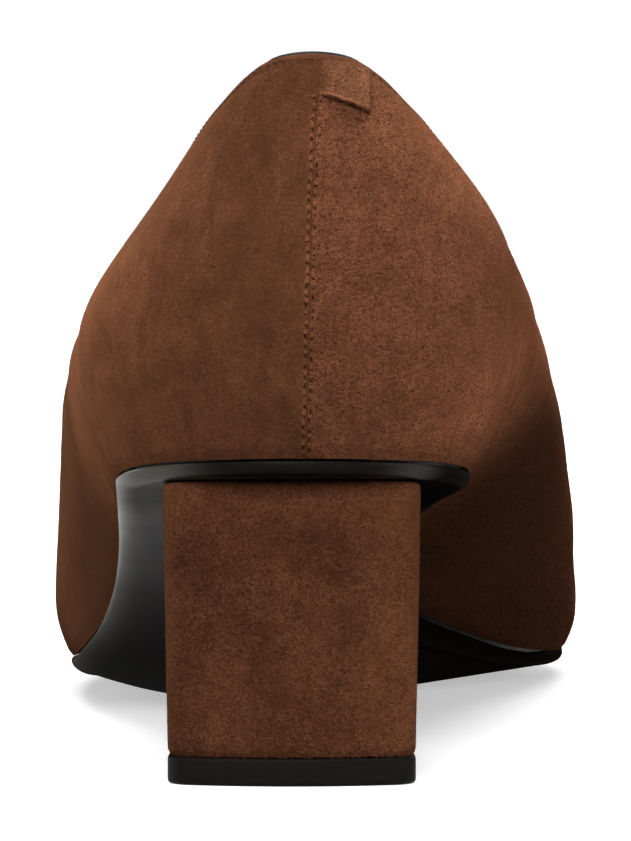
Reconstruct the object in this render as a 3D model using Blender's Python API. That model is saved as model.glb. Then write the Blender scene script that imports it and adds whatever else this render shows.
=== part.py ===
"""Left block heel pump: hollow upper, back tab, insole, outsole, heel block and heel tip.

Frame: the origin is the middle of the heel tip's flat bottom, on the floor.  +Y runs to the toe, +X to
the inner side of the foot and +Z up.  The tables hold millimetres and the meshes are built in metres.
"along" is the distance forward of the back edge of the heel seat, and "turn" runs round the shoe:
0 at the middle of the back, -1 at the toe by the outer side and +1 at the toe by the inner side.
"rise" runs up the wall, from 0 at the feather line, where the upper meets the sole, to 1 at the topline.
"""
import math
from collections import namedtuple

import bmesh
import bpy
from mathutils import Vector

MM = 0.001
GAP = 0.3
TIP_CENTRE_ALONG = 24.0

SHOE_LENGTH = 246.0
WALL_THICKNESS = 2.0
RIM_THICKNESS = 1.5
BOTTOM_EDGE_WIDTH = 2.4
INSOLE_INSET = 3.0
INSOLE_THICKNESS = 1.8
SOLE_EDGE_SEAT = 2.1
SOLE_EDGE_TOE = 1.5
TREAD_FLAT_SHARE = 0.3
TREAD_EDGE_POWER = 1.6
BALL_LINE_SLANT = 0.4
BALL_LINE_MIDDLE_X = 4.0
SEAT_END = 60.0
BALL_START = 120.0

COLUMNS_PER_SIDE = 50
OUTER_ROWS = 13
INNER_ROWS = 10
SOLE_STRIPS = 8

TAB_LEFT_X = 3.9
TAB_RIGHT_X = 11.2
TAB_BOTTOM_RISE = 0.885
TAB_TOP_RISE = 0.99
TAB_THICKNESS = 0.8
TAB_COLUMNS = 6
TAB_ROWS = 4

TIP_HEIGHT = 4.1
TIP_EDGE = 0.7
BLOCK_BOW = 3.2
BLOCK_CORNER = 2.6
Footprint = namedtuple("Footprint", "width back front front_width")
BLOCK_BOTTOM = Footprint(width=36.6, back=8.4, front=40.4, front_width=35.0)
BLOCK_TOP = Footprint(width=37.9, back=6.6, front=44.2, front_width=36.4)
BLOCK_LEVELS = 7
CORNER_STEPS = 4
BACK_STEPS = 10
SIDE_STEPS = 4
FRONT_STEPS = 6

Row = namedtuple("Row", "along outer_x outer_z inner_x inner_z")
Ring = namedtuple("Ring", "rise back front back_round front_round power back_x front_x rows")
Under = namedtuple("Under", "along middle_z dish")

FEATHER = Ring(
    rise=0.0, back=0.0, front=SHOE_LENGTH, back_round=26.0, front_round=54.0, power=2.1,
    back_x=1.2, front_x=9.0,
    rows=(
        Row(0, -25.6, 48.9, 26.6, 48.9),
        Row(12, -25.9, 47.1, 26.7, 47.3),
        Row(25, -26.1, 44.4, 26.4, 45.0),
        Row(45, -26.2, 38.6, 22.2, 41.4),
        Row(65, -26.4, 31.2, 17.4, 36.0),
        Row(85, -27.6, 23.2, 15.2, 29.6),
        Row(105, -30.2, 15.8, 15.8, 22.6),
        Row(125, -33.8, 9.9, 19.8, 15.8),
        Row(143, -35.4, 7.2, 27.0, 11.2),
        Row(158, -35.8, 6.1, 34.0, 7.6),
        Row(172, -34.8, 5.5, 40.4, 5.4),
        Row(186, -32.2, 5.2, 44.0, 4.6),
        Row(200, -28.6, 5.6, 43.8, 5.0),
        Row(215, -24.6, 6.6, 40.6, 6.2),
        Row(230, -20.6, 8.2, 37.0, 8.0),
        Row(246, -16.6, 10.4, 32.6, 10.4),
    ))

LOW_WALL = Ring(
    rise=0.2, back=-2.2, front=248.2, back_round=29.0, front_round=54.0, power=2.1,
    back_x=2.0, front_x=9.0,
    rows=(
        Row(-2.2, -28.6, 60.0, 31.0, 60.0),
        Row(12, -29.2, 57.6, 31.4, 57.6),
        Row(25, -29.6, 54.6, 31.6, 54.8),
        Row(60, -30.6, 43.2, 29.4, 45.8),
        Row(85, -32.2, 34.0, 28.4, 37.8),
        Row(110, -34.8, 25.4, 30.4, 29.8),
        Row(135, -37.4, 17.8, 35.6, 22.0),
        Row(155, -38.2, 13.8, 41.4, 15.4),
        Row(175, -37.0, 12.2, 45.6, 12.0),
        Row(190, -34.2, 12.2, 46.2, 11.4),
        Row(205, -30.2, 12.8, 44.6, 12.4),
        Row(225, -24.4, 14.6, 40.4, 14.4),
        Row(248.2, -18.0, 18.0, 34.0, 18.0),
    ))

MIDDLE_WALL = Ring(
    rise=0.42, back=-3.0, front=241.5, back_round=31.0, front_round=50.0, power=2.1,
    back_x=2.2, front_x=8.6,
    rows=(
        Row(-3.0, -29.6, 72.4, 32.2, 72.4),
        Row(12, -30.8, 69.4, 32.6, 69.4),
        Row(25, -31.5, 66.0, 32.9, 66.0),
        Row(60, -33.0, 54.6, 36.4, 56.0),
        Row(85, -34.8, 46.0, 38.0, 48.0),
        Row(110, -36.2, 37.4, 40.2, 40.4),
        Row(135, -37.2, 29.4, 43.0, 32.4),
        Row(155, -37.2, 24.2, 45.0, 25.6),
        Row(175, -34.6, 21.8, 44.2, 22.2),
        Row(190, -31.0, 21.0, 42.4, 21.2),
        Row(205, -26.8, 21.2, 39.8, 21.0),
        Row(225, -21.0, 22.4, 35.6, 22.2),
        Row(241.5, -16.0, 24.6, 31.6, 24.6),
    ))

HIGH_WALL = Ring(
    rise=0.72, back=-1.6, front=214.0, back_round=28.0, front_round=48.0, power=2.1,
    back_x=3.0, front_x=7.0,
    rows=(
        Row(-1.6, -22.2, 90.4, 30.2, 90.4),
        Row(12, -22.8, 84.8, 30.6, 84.8),
        Row(25, -24.0, 80.0, 31.6, 80.0),
        Row(40, -27.2, 74.4, 33.8, 74.6),
        Row(60, -31.0, 66.8, 36.9, 67.2),
        Row(85, -33.8, 58.4, 38.8, 59.0),
        Row(110, -35.2, 50.2, 40.8, 51.6),
        Row(135, -34.6, 42.6, 41.2, 44.6),
        Row(155, -32.0, 37.4, 39.4, 38.8),
        Row(175, -28.0, 34.2, 36.0, 34.8),
        Row(195, -23.0, 33.4, 31.6, 33.6),
        Row(214, -18.0, 35.2, 28.0, 35.2),
    ))

TOPLINE = Ring(
    rise=1.0, back=1.2, front=177.0, back_round=20.0, front_round=52.0, power=2.0,
    back_x=3.1, front_x=5.0,
    rows=(
        Row(1.2, -13.0, 107.8, 19.4, 107.8),
        Row(2.6, -13.0, 107.0, 19.4, 107.0),
        Row(5, -13.0, 104.7, 19.5, 104.7),
        Row(9, -13.2, 101.0, 19.8, 101.0),
        Row(14, -13.6, 97.6, 20.6, 97.6),
        Row(25, -15.6, 91.6, 22.8, 91.6),
        Row(40, -20.2, 84.6, 26.6, 84.6),
        Row(60, -24.6, 77.0, 30.8, 77.2),
        Row(85, -28.4, 69.0, 34.2, 69.4),
        Row(110, -30.6, 61.4, 35.6, 62.4),
        Row(135, -30.6, 54.0, 35.2, 55.6),
        Row(155, -29.0, 49.4, 33.6, 50.6),
        Row(168, -27.6, 49.0, 32.2, 49.6),
        Row(177, -26.6, 50.4, 31.2, 50.4),
    ))

RINGS = (FEATHER, LOW_WALL, MIDDLE_WALL, HIGH_WALL, TOPLINE)

UNDERSIDE = (
    Under(0, 46.8, 0.0),
    Under(12, 44.8, 0.0),
    Under(25, 42.2, 0.0),
    Under(45, 37.2, 0.2),
    Under(65, 30.8, 0.5),
    Under(85, 23.2, 0.9),
    Under(105, 15.0, 1.3),
    Under(125, 7.6, 1.8),
    Under(143, 2.2, 2.2),
    Under(158, 0.0, 2.4),
    Under(190, 0.0, 2.0),
    Under(205, 0.9, 1.6),
    Under(220, 3.0, 1.2),
    Under(246, 8.8, 0.6),
)


def clear_scene():
    for item in list(bpy.data.objects):
        bpy.data.objects.remove(item, do_unlink=True)


def mix(low, high, share):
    return low + (high - low) * share


def clamp(value, low, high):
    return max(low, min(high, value))


def ease(share):
    share = clamp(share, 0.0, 1.0)
    return share * share * (3.0 - 2.0 * share)


def table_value(rows, column, along):
    """Smooth cubic through the rows of a table, held level beyond its ends."""
    along = clamp(along, rows[0].along, rows[-1].along)
    index = 0
    while index < len(rows) - 2 and along > rows[index + 1].along:
        index += 1
    xs = [row.along for row in rows]
    ys = [getattr(row, column) for row in rows]

    def slope(k):
        if k == 0:
            return (ys[1] - ys[0]) / (xs[1] - xs[0])
        if k == len(rows) - 1:
            return (ys[-1] - ys[-2]) / (xs[-1] - xs[-2])
        before = (ys[k] - ys[k - 1]) / (xs[k] - xs[k - 1])
        after = (ys[k + 1] - ys[k]) / (xs[k + 1] - xs[k])
        if before * after <= 0.0:
            return 0.0
        share = (xs[k] - xs[k - 1]) / (xs[k + 1] - xs[k - 1])
        return mix(before, after, share)

    step = xs[index + 1] - xs[index]
    t = (along - xs[index]) / step
    start = (1 + 2 * t) * (1 - t) ** 2 * ys[index] + t * (1 - t) ** 2 * step * slope(index)
    end = t * t * (3 - 2 * t) * ys[index + 1] + t * t * (t - 1) * step * slope(index + 1)
    return start + end


def end_share(distance, length, power):
    """Width share of a rounded end: 0 at the very end, 1 from `length` inward."""
    t = clamp(distance / length, 0.0, 1.0)
    return (1.0 - (1.0 - t) ** power) ** (1.0 / power)


def ring_along(ring, turn, inset=0.0):
    share = (1.0 - math.cos(math.pi * abs(turn))) / 2.0
    return mix(ring.back + inset, ring.front - inset, share)


def ring_x(ring, side, along, inset=0.0):
    """Edge of a ring at one side (-1 outer, +1 inner) with its ends rounded."""
    back = ring.back + inset
    front = ring.front - inset
    share = end_share(along - back, ring.back_round - inset, ring.power)
    share *= end_share(front - along, ring.front_round - inset, ring.power)
    middle = mix(ring.back_x, ring.front_x, clamp((along - back) / (front - back), 0.0, 1.0))
    column = "inner_x" if side > 0 else "outer_x"
    nominal = table_value(ring.rows, column, along) - side * inset
    return mix(middle, nominal, share)


def ring_z(ring, side, along):
    column = "inner_z" if side > 0 else "outer_z"
    return table_value(ring.rows, column, along)


def ring_point(ring, turn, inset=0.0):
    side = 1 if turn >= 0 else -1
    along = ring_along(ring, turn, inset)
    return Vector((ring_x(ring, side, along, inset), along, ring_z(ring, side, along)))


def spline_shares(knots, place):
    """Weights of a natural cubic spline through the knots, for one place on it."""
    count = len(knots)
    steps = [knots[k + 1] - knots[k] for k in range(count - 1)]
    bends = []
    for unit in range(count):
        heights = [1.0 if k == unit else 0.0 for k in range(count)]
        diagonal = [1.0] * count
        upper = [0.0] * count
        right = [0.0] * count
        for k in range(1, count - 1):
            rise_after = (heights[k + 1] - heights[k]) / steps[k]
            rise_before = (heights[k] - heights[k - 1]) / steps[k - 1]
            span = 2.0 * (knots[k + 1] - knots[k - 1]) - steps[k - 1] * upper[k - 1]
            diagonal[k] = span
            upper[k] = steps[k] / span
            right[k] = (6.0 * (rise_after - rise_before) - steps[k - 1] * right[k - 1]) / span
        bend = [0.0] * count
        for k in range(count - 2, 0, -1):
            bend[k] = right[k] - upper[k] * bend[k + 1]
        bends.append(bend)
    cell = 0
    while cell < count - 2 and place > knots[cell + 1]:
        cell += 1
    step = steps[cell]
    b = (place - knots[cell]) / step
    a = 1.0 - b
    shares = []
    for unit in range(count):
        value = (a if unit == cell else 0.0) + (b if unit == cell + 1 else 0.0)
        value += (a ** 3 - a) * step * step / 6.0 * bends[unit][cell]
        value += (b ** 3 - b) * step * step / 6.0 * bends[unit][cell + 1]
        shares.append(value)
    return shares


RISES = tuple(ring.rise for ring in RINGS)


def last_point(turn, rise):
    """Point of the upper's outer surface, in millimetres with y measured along."""
    if turn > 1.0:
        turn -= 2.0
    if turn < -1.0:
        turn += 2.0
    point = Vector((0.0, 0.0, 0.0))
    for share, ring in zip(spline_shares(RISES, rise), RINGS):
        point += ring_point(ring, turn) * share
    return point


def last_normal(turn, rise):
    """Unit normal of the outer surface, pointing out of the shoe."""
    step = 0.004
    low = max(0.0, rise - step)
    high = min(1.0, rise + step)
    across = last_point(turn + step, rise) - last_point(turn - step, rise)
    up = last_point(turn, high) - last_point(turn, low)
    return across.cross(up).normalized()


def inner_point(turn, rise):
    """Point of the upper's inner surface: the wall's thickness inside the outer one."""
    thickness = mix(WALL_THICKNESS, RIM_THICKNESS, ease((rise - 0.8) / 0.2))
    inside = last_point(turn, rise) - last_normal(turn, rise) * thickness
    foot = ring_point(FEATHER, turn, BOTTOM_EDGE_WIDTH)
    return foot.lerp(inside, ease(rise / 0.16))


def turn_at_x(x, rise):
    """Turn on the inner side of the back where the outer surface has this x."""
    low = 0.0
    high = 0.25
    for _ in range(40):
        middle = (low + high) / 2.0
        if last_point(middle, rise).x < x:
            low = middle
        else:
            high = middle
    return (low + high) / 2.0


def sole_top(x, along, inset=0.0):
    """Height of the outsole's upper face."""
    outer = ring_x(FEATHER, -1, along)
    inner = ring_x(FEATHER, 1, along)
    share = clamp((x - outer) / max(inner - outer, 0.001), 0.0, 1.0)
    edge = mix(ring_z(FEATHER, -1, along), ring_z(FEATHER, 1, along), share)
    across = 2.0 * share - 1.0
    dish = table_value(UNDERSIDE, "dish", along) * (1.0 - across * across) ** 2
    return edge - GAP - dish


def sole_bottom(x, along):
    """Height of the outsole's lower face: flat in the tread, raised to a thin edge all round."""
    outer = ring_x(FEATHER, -1, along)
    inner = ring_x(FEATHER, 1, along)
    share = clamp((x - outer) / max(inner - outer, 0.001), 0.0, 1.0)
    edge_top = mix(ring_z(FEATHER, -1, along), ring_z(FEATHER, 1, along), share) - GAP
    seat = ease((along - SEAT_END) / (BALL_START - SEAT_END))
    edge = edge_top - mix(SOLE_EDGE_SEAT, SOLE_EDGE_TOE, seat)
    slant = BALL_LINE_SLANT * seat
    slanted = along - slant * (x - BALL_LINE_MIDDLE_X)
    middle = table_value(UNDERSIDE, "middle_z", slanted)
    offset = clamp((abs(2.0 * share - 1.0) - TREAD_FLAT_SHARE) / (1.0 - TREAD_FLAT_SHARE), 0.0, 1.0)
    return mix(min(middle, edge), edge, offset ** TREAD_EDGE_POWER)


def place(point):
    """From millimetres along the shoe to metres in the part's frame."""
    return Vector((point[0] * MM, (point[1] - TIP_CENTRE_ALONG) * MM, point[2] * MM))


def make_material(name, colour, roughness):
    material = bpy.data.materials.new(name)
    material.use_nodes = True
    shader = material.node_tree.nodes["Principled BSDF"]
    shader.inputs["Base Color"].default_value = (*colour, 1.0)
    shader.inputs["Roughness"].default_value = roughness
    material.diffuse_color = (*colour, 1.0)
    return material


def make_object(name, points, faces, material, sharp_degrees=40.0):
    mesh = bpy.data.meshes.new(name)
    mesh.from_pydata([place(point) for point in points], [], faces)
    work = bmesh.new()
    work.from_mesh(mesh)
    bmesh.ops.recalc_face_normals(work, faces=work.faces)
    work.to_mesh(mesh)
    work.free()
    mesh.materials.append(material)
    mesh.polygons.foreach_set("use_smooth", [True] * len(mesh.polygons))
    mesh.set_sharp_from_angle(angle=math.radians(sharp_degrees))
    item = bpy.data.objects.new(name, mesh)
    bpy.context.scene.collection.objects.link(item)
    return item


def side_turns():
    """Turns of the columns once round the shoe, closer together at the back and the toe."""
    count = COLUMNS_PER_SIDE
    lateral = [-k / count for k in range(count, 0, -1)]
    medial = [k / count for k in range(0, count)]
    return lateral + medial


def build_upper(material):
    turns = side_turns()
    outer = [k / OUTER_ROWS for k in range(OUTER_ROWS + 1)]
    inner = [1.0 - k / INNER_ROWS for k in range(INNER_ROWS + 1)]
    loops = [[last_point(turn, rise) for turn in turns] for rise in outer]
    loops += [[inner_point(turn, rise) for turn in turns] for rise in inner]
    width = len(turns)
    points = [point for loop in loops for point in loop]
    faces = []
    for row in range(len(loops)):
        below = row * width
        above = ((row + 1) % len(loops)) * width
        for k in range(width):
            right = (k + 1) % width
            faces.append((below + k, below + right, above + right, above + k))
    return make_object("upper", points, faces, material)


def build_tab(material):
    """A curved plate over the topline at the back, from the seam to the inner side."""
    points = []
    for lift in (GAP, GAP + TAB_THICKNESS):
        for row in range(TAB_ROWS + 1):
            rise = mix(TAB_BOTTOM_RISE, TAB_TOP_RISE, row / TAB_ROWS)
            start = turn_at_x(TAB_LEFT_X, rise)
            end = turn_at_x(TAB_RIGHT_X, rise)
            for column in range(TAB_COLUMNS + 1):
                turn = mix(start, end, column / TAB_COLUMNS)
                points.append(last_point(turn, rise) + last_normal(turn, rise) * lift)
    return make_object("back_tab", points, plate_faces(TAB_ROWS, TAB_COLUMNS), material)


def plate_faces(rows, columns):
    """Faces of a closed plate whose two sides are grids of (rows+1) by (columns+1) points."""
    across = columns + 1
    layer = (rows + 1) * across
    faces = []
    for row in range(rows):
        for column in range(columns):
            corner = row * across + column
            quad = (corner, corner + 1, corner + 1 + across, corner + across)
            faces.append(tuple(reversed(quad)))
            faces.append(tuple(k + layer for k in quad))
    border = [column for column in range(columns)]
    border += [row * across + columns for row in range(rows)]
    border += [rows * across + column for column in range(columns, 0, -1)]
    border += [row * across for row in range(rows, 0, -1)]
    for k, here in enumerate(border):
        following = border[(k + 1) % len(border)]
        faces.append((here, following, following + layer, here + layer))
    return faces


def sole_faces(stations, strips):
    """Faces of a closed sole: two skins of cross sections with a point at each end."""
    across = strips + 1
    layer = stations * across + 2
    faces = []
    for base, flip in ((0, True), (layer, False)):
        heel = base + stations * across
        toe = heel + 1
        skin = []
        for station in range(stations - 1):
            for strip in range(strips):
                corner = base + station * across + strip
                skin.append((corner, corner + 1, corner + 1 + across, corner + across))
        for strip in range(strips):
            skin.append((heel, base + strip + 1, base + strip))
            last = base + (stations - 1) * across + strip
            skin.append((last, last + 1, toe))
        faces += [tuple(reversed(face)) if flip else face for face in skin]
    rim = [station * across for station in range(stations)]
    rim += [stations * across + 1]
    rim += [station * across + strips for station in range(stations - 1, -1, -1)]
    rim += [stations * across]
    for k, here in enumerate(rim):
        following = rim[(k + 1) % len(rim)]
        faces.append((here, following, following + layer, here + layer))
    return faces


def sole_points(inset, lower, upper):
    """Points of a sole whose lower and upper faces are functions of x and along."""
    turns = [k / COLUMNS_PER_SIDE for k in range(1, COLUMNS_PER_SIDE)]
    points = []
    for height in (lower, upper):
        for turn in turns:
            along = ring_along(FEATHER, turn, inset)
            outer = ring_x(FEATHER, -1, along, inset)
            inner = ring_x(FEATHER, 1, along, inset)
            for strip in range(SOLE_STRIPS + 1):
                x = mix(outer, inner, strip / SOLE_STRIPS)
                points.append((x, along, height(x, along)))
        for along, x in ((FEATHER.back + inset, FEATHER.back_x), (FEATHER.front - inset, FEATHER.front_x)):
            points.append((x, along, height(x, along)))
    return points, len(turns)


def build_outsole(material):
    points, stations = sole_points(0.0, sole_bottom, sole_top)
    return make_object("outsole", points, sole_faces(stations, SOLE_STRIPS), material, 35.0)


def build_insole(material):
    def lower(x, along):
        return sole_top(x, along) + GAP

    def upper(x, along):
        return sole_top(x, along) + GAP + INSOLE_THICKNESS

    points, stations = sole_points(INSOLE_INSET, lower, upper)
    return make_object("insole", points, sole_faces(stations, SOLE_STRIPS), material, 35.0)


def footprint_mix(low, high, share):
    return Footprint(*(mix(a, b, share) for a, b in zip(low, high)))


def footprint_points(foot, shrink=0.0):
    """Outline of the heel: a bowed back, straight sides that close in forward, rounded corners."""
    back = foot.back + BLOCK_BOW + shrink
    front = foot.front - shrink
    half_back = foot.width / 2.0 - shrink
    half_front = foot.front_width / 2.0 - shrink
    r = BLOCK_CORNER
    points = []

    def corner(x, along, start):
        for k in range(CORNER_STEPS + 1):
            angle = math.radians(start + 90.0 * k / CORNER_STEPS)
            points.append((x + r * math.cos(angle), along + r * math.sin(angle)))

    def straight(start, end, steps):
        for k in range(1, steps):
            points.append((mix(start[0], end[0], k / steps), mix(start[1], end[1], k / steps)))

    corner(-half_back + r, back + r, 180.0)
    straight((-half_back + r, back), (half_back - r, back), BACK_STEPS)
    corner(half_back - r, back + r, 270.0)
    straight((half_back, back + r), (half_front, front - r), SIDE_STEPS)
    corner(half_front - r, front - r, 0.0)
    straight((half_front - r, front), (-half_front + r, front), FRONT_STEPS)
    corner(-half_front + r, front - r, 90.0)
    straight((-half_front, front - r), (-half_back, back + r), SIDE_STEPS)
    bowed = []
    for x, along in points:
        share = clamp((back + r - along) / r, 0.0, 1.0)
        bowed.append((x, along - share * BLOCK_BOW * (1.0 - (x / half_back) ** 2)))
    return bowed


def stacked_faces(levels, width):
    """Sides of a closed stack of loops, with a centre point after the loops at each end."""
    faces = []
    for level in range(levels - 1):
        for k in range(width):
            right = (k + 1) % width
            low = level * width
            faces.append((low + k, low + right, low + width + right, low + width + k))
    bottom = levels * width
    for k in range(width):
        right = (k + 1) % width
        faces.append((bottom, right, k))
        top = (levels - 1) * width
        faces.append((bottom + 1, top + k, top + right))
    return faces


def centre_of(foot):
    return (0.0, (foot.back + foot.front) / 2.0)


def build_tip(material):
    rings = ((TIP_EDGE, 0.0), (TIP_EDGE * 0.3, TIP_EDGE * 0.4), (0.0, TIP_EDGE * 1.2), (0.0, TIP_HEIGHT))
    points = []
    for shrink, height in rings:
        points += [(x, along, height) for x, along in footprint_points(BLOCK_BOTTOM, shrink)]
    width = len(points) // len(rings)
    x, along = centre_of(BLOCK_BOTTOM)
    points += [(x, along, 0.0), (x, along, TIP_HEIGHT)]
    return make_object("heel_tip", points, stacked_faces(len(rings), width), material, 50.0)


def build_block(material):
    foot_height = TIP_HEIGHT + GAP
    loops = []
    for level in range(BLOCK_LEVELS + 1):
        share = level / BLOCK_LEVELS
        outline = footprint_points(footprint_mix(BLOCK_BOTTOM, BLOCK_TOP, share))
        loops.append([(x, along, mix(foot_height, sole_bottom(x, along) - GAP, share)) for x, along in outline])
    middle_x, middle_along = centre_of(BLOCK_TOP)
    outline = footprint_points(BLOCK_TOP)
    for share in (0.75, 0.5, 0.25):
        ring = [(mix(middle_x, x, share), mix(middle_along, along, share)) for x, along in outline]
        loops.append([(x, along, sole_bottom(x, along) - GAP) for x, along in ring])
    points = [point for loop in loops for point in loop]
    bottom_x, bottom_along = centre_of(BLOCK_BOTTOM)
    points.append((bottom_x, bottom_along, foot_height))
    points.append((middle_x, middle_along, sole_bottom(middle_x, middle_along) - GAP))
    return make_object("heel_block", points, stacked_faces(len(loops), len(outline)), material, 50.0)


def main():
    clear_scene()
    suede = make_material("brown_suede", (0.1207, 0.0452, 0.0212), 0.95)
    block_suede = make_material("block_suede", (0.0953, 0.0343, 0.0160), 0.95)
    tab_suede = make_material("tab_suede", (0.1650, 0.0650, 0.0310), 0.95)
    lining = make_material("black_lining", (0.0144, 0.0123, 0.0116), 0.55)
    sole = make_material("black_sole", (0.0110, 0.0095, 0.0084), 0.30)
    rubber = make_material("black_rubber", (0.0112, 0.0101, 0.0088), 0.60)
    build_upper(suede)
    build_tab(tab_suede)
    build_insole(lining)
    build_outsole(sole)
    build_block(block_suede)
    build_tip(rubber)


main()
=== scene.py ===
"""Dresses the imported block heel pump: suede, lining, sole, covered heel, stitches and a plain studio.

The frame is the part's: the origin is the middle of the heel tip's bottom, +Y runs to the toe, +X to the
inner side of the left foot and +Z up.  The tables hold millimetres.  "along" is the distance forward of
the back edge of the heel seat, "turn" runs round the shoe and "rise" runs up the wall, 0 to 1.
"""
import math
from collections import namedtuple

import bmesh
import bpy
import numpy as np
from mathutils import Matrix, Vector, noise


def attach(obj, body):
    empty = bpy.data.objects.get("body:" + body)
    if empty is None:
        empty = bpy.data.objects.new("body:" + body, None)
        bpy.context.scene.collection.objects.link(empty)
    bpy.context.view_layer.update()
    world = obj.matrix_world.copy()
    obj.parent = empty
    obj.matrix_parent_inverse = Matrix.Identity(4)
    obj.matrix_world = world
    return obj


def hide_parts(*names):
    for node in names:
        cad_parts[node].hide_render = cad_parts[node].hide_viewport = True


bl_info = {
    "name": "Block heel pump",
    "version": (1, 0, 0),
    "blender": (4, 5, 0),
    "location": "View3D > Sidebar > Pump",
    "description": "Builds the looks of a suede block heel pump over its packed solids",
    "category": "Object",
}

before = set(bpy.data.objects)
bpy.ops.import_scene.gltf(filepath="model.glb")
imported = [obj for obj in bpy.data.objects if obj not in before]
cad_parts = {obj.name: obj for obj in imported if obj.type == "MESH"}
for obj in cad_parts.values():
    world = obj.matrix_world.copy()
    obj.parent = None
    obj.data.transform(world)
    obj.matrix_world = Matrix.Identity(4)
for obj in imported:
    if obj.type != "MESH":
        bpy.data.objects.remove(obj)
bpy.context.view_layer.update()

MM = 0.001
TIP_CENTRE_ALONG = 24.0
SHOE_LENGTH = 246.0
SOLE_EDGE_SEAT = 2.1
SOLE_EDGE_TOE = 1.5
TREAD_FLAT_SHARE = 0.3
TREAD_EDGE_POWER = 1.6
BALL_LINE_SLANT = 0.4
BALL_LINE_MIDDLE_X = 4.0
SEAT_END = 60.0
BALL_START = 120.0
GAP = 0.3
INSOLE_INSET = 3.0

Row = namedtuple("Row", "along outer_x outer_z inner_x inner_z")
Ring = namedtuple("Ring", "rise back front back_round front_round power back_x front_x rows")
Under = namedtuple("Under", "along middle_z dish")
Footprint = namedtuple("Footprint", "width back front front_width")
SeamPoint = namedtuple("SeamPoint", "rise x")
RimWidth = namedtuple("RimWidth", "along width")
Crease = namedtuple("Crease", "side start end width lift")
PaintedLight = namedtuple("PaintedLight", "strength along along_spread rise rise_spread")
Nap = namedtuple("Nap", "hairs seed length tip_seed")
Lamp = namedtuple("Lamp", "name place size power")

FEATHER = Ring(
    rise=0.0, back=0.0, front=SHOE_LENGTH, back_round=26.0, front_round=54.0, power=2.1,
    back_x=1.2, front_x=9.0,
    rows=(
        Row(0, -25.6, 48.9, 26.6, 48.9),
        Row(12, -25.9, 47.1, 26.7, 47.3),
        Row(25, -26.1, 44.4, 26.4, 45.0),
        Row(45, -26.2, 38.6, 22.2, 41.4),
        Row(65, -26.4, 31.2, 17.4, 36.0),
        Row(85, -27.6, 23.2, 15.2, 29.6),
        Row(105, -30.2, 15.8, 15.8, 22.6),
        Row(125, -33.8, 9.9, 19.8, 15.8),
        Row(143, -35.4, 7.2, 27.0, 11.2),
        Row(158, -35.8, 6.1, 34.0, 7.6),
        Row(172, -34.8, 5.5, 40.4, 5.4),
        Row(186, -32.2, 5.2, 44.0, 4.6),
        Row(200, -28.6, 5.6, 43.8, 5.0),
        Row(215, -24.6, 6.6, 40.6, 6.2),
        Row(230, -20.6, 8.2, 37.0, 8.0),
        Row(246, -16.6, 10.4, 32.6, 10.4),
    ))

LOW_WALL = Ring(
    rise=0.2, back=-2.2, front=248.2, back_round=29.0, front_round=54.0, power=2.1,
    back_x=2.0, front_x=9.0,
    rows=(
        Row(-2.2, -28.6, 60.0, 31.0, 60.0),
        Row(12, -29.2, 57.6, 31.4, 57.6),
        Row(25, -29.6, 54.6, 31.6, 54.8),
        Row(60, -30.6, 43.2, 29.4, 45.8),
        Row(85, -32.2, 34.0, 28.4, 37.8),
        Row(110, -34.8, 25.4, 30.4, 29.8),
        Row(135, -37.4, 17.8, 35.6, 22.0),
        Row(155, -38.2, 13.8, 41.4, 15.4),
        Row(175, -37.0, 12.2, 45.6, 12.0),
        Row(190, -34.2, 12.2, 46.2, 11.4),
        Row(205, -30.2, 12.8, 44.6, 12.4),
        Row(225, -24.4, 14.6, 40.4, 14.4),
        Row(248.2, -18.0, 18.0, 34.0, 18.0),
    ))

MIDDLE_WALL = Ring(
    rise=0.42, back=-3.0, front=241.5, back_round=31.0, front_round=50.0, power=2.1,
    back_x=2.2, front_x=8.6,
    rows=(
        Row(-3.0, -29.6, 72.4, 32.2, 72.4),
        Row(12, -30.8, 69.4, 32.6, 69.4),
        Row(25, -31.5, 66.0, 32.9, 66.0),
        Row(60, -33.0, 54.6, 36.4, 56.0),
        Row(85, -34.8, 46.0, 38.0, 48.0),
        Row(110, -36.2, 37.4, 40.2, 40.4),
        Row(135, -37.2, 29.4, 43.0, 32.4),
        Row(155, -37.2, 24.2, 45.0, 25.6),
        Row(175, -34.6, 21.8, 44.2, 22.2),
        Row(190, -31.0, 21.0, 42.4, 21.2),
        Row(205, -26.8, 21.2, 39.8, 21.0),
        Row(225, -21.0, 22.4, 35.6, 22.2),
        Row(241.5, -16.0, 24.6, 31.6, 24.6),
    ))

HIGH_WALL = Ring(
    rise=0.72, back=-1.6, front=214.0, back_round=28.0, front_round=48.0, power=2.1,
    back_x=3.0, front_x=7.0,
    rows=(
        Row(-1.6, -22.2, 90.4, 30.2, 90.4),
        Row(12, -22.8, 84.8, 30.6, 84.8),
        Row(25, -24.0, 80.0, 31.6, 80.0),
        Row(40, -27.2, 74.4, 33.8, 74.6),
        Row(60, -31.0, 66.8, 36.9, 67.2),
        Row(85, -33.8, 58.4, 38.8, 59.0),
        Row(110, -35.2, 50.2, 40.8, 51.6),
        Row(135, -34.6, 42.6, 41.2, 44.6),
        Row(155, -32.0, 37.4, 39.4, 38.8),
        Row(175, -28.0, 34.2, 36.0, 34.8),
        Row(195, -23.0, 33.4, 31.6, 33.6),
        Row(214, -18.0, 35.2, 28.0, 35.2),
    ))

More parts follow.
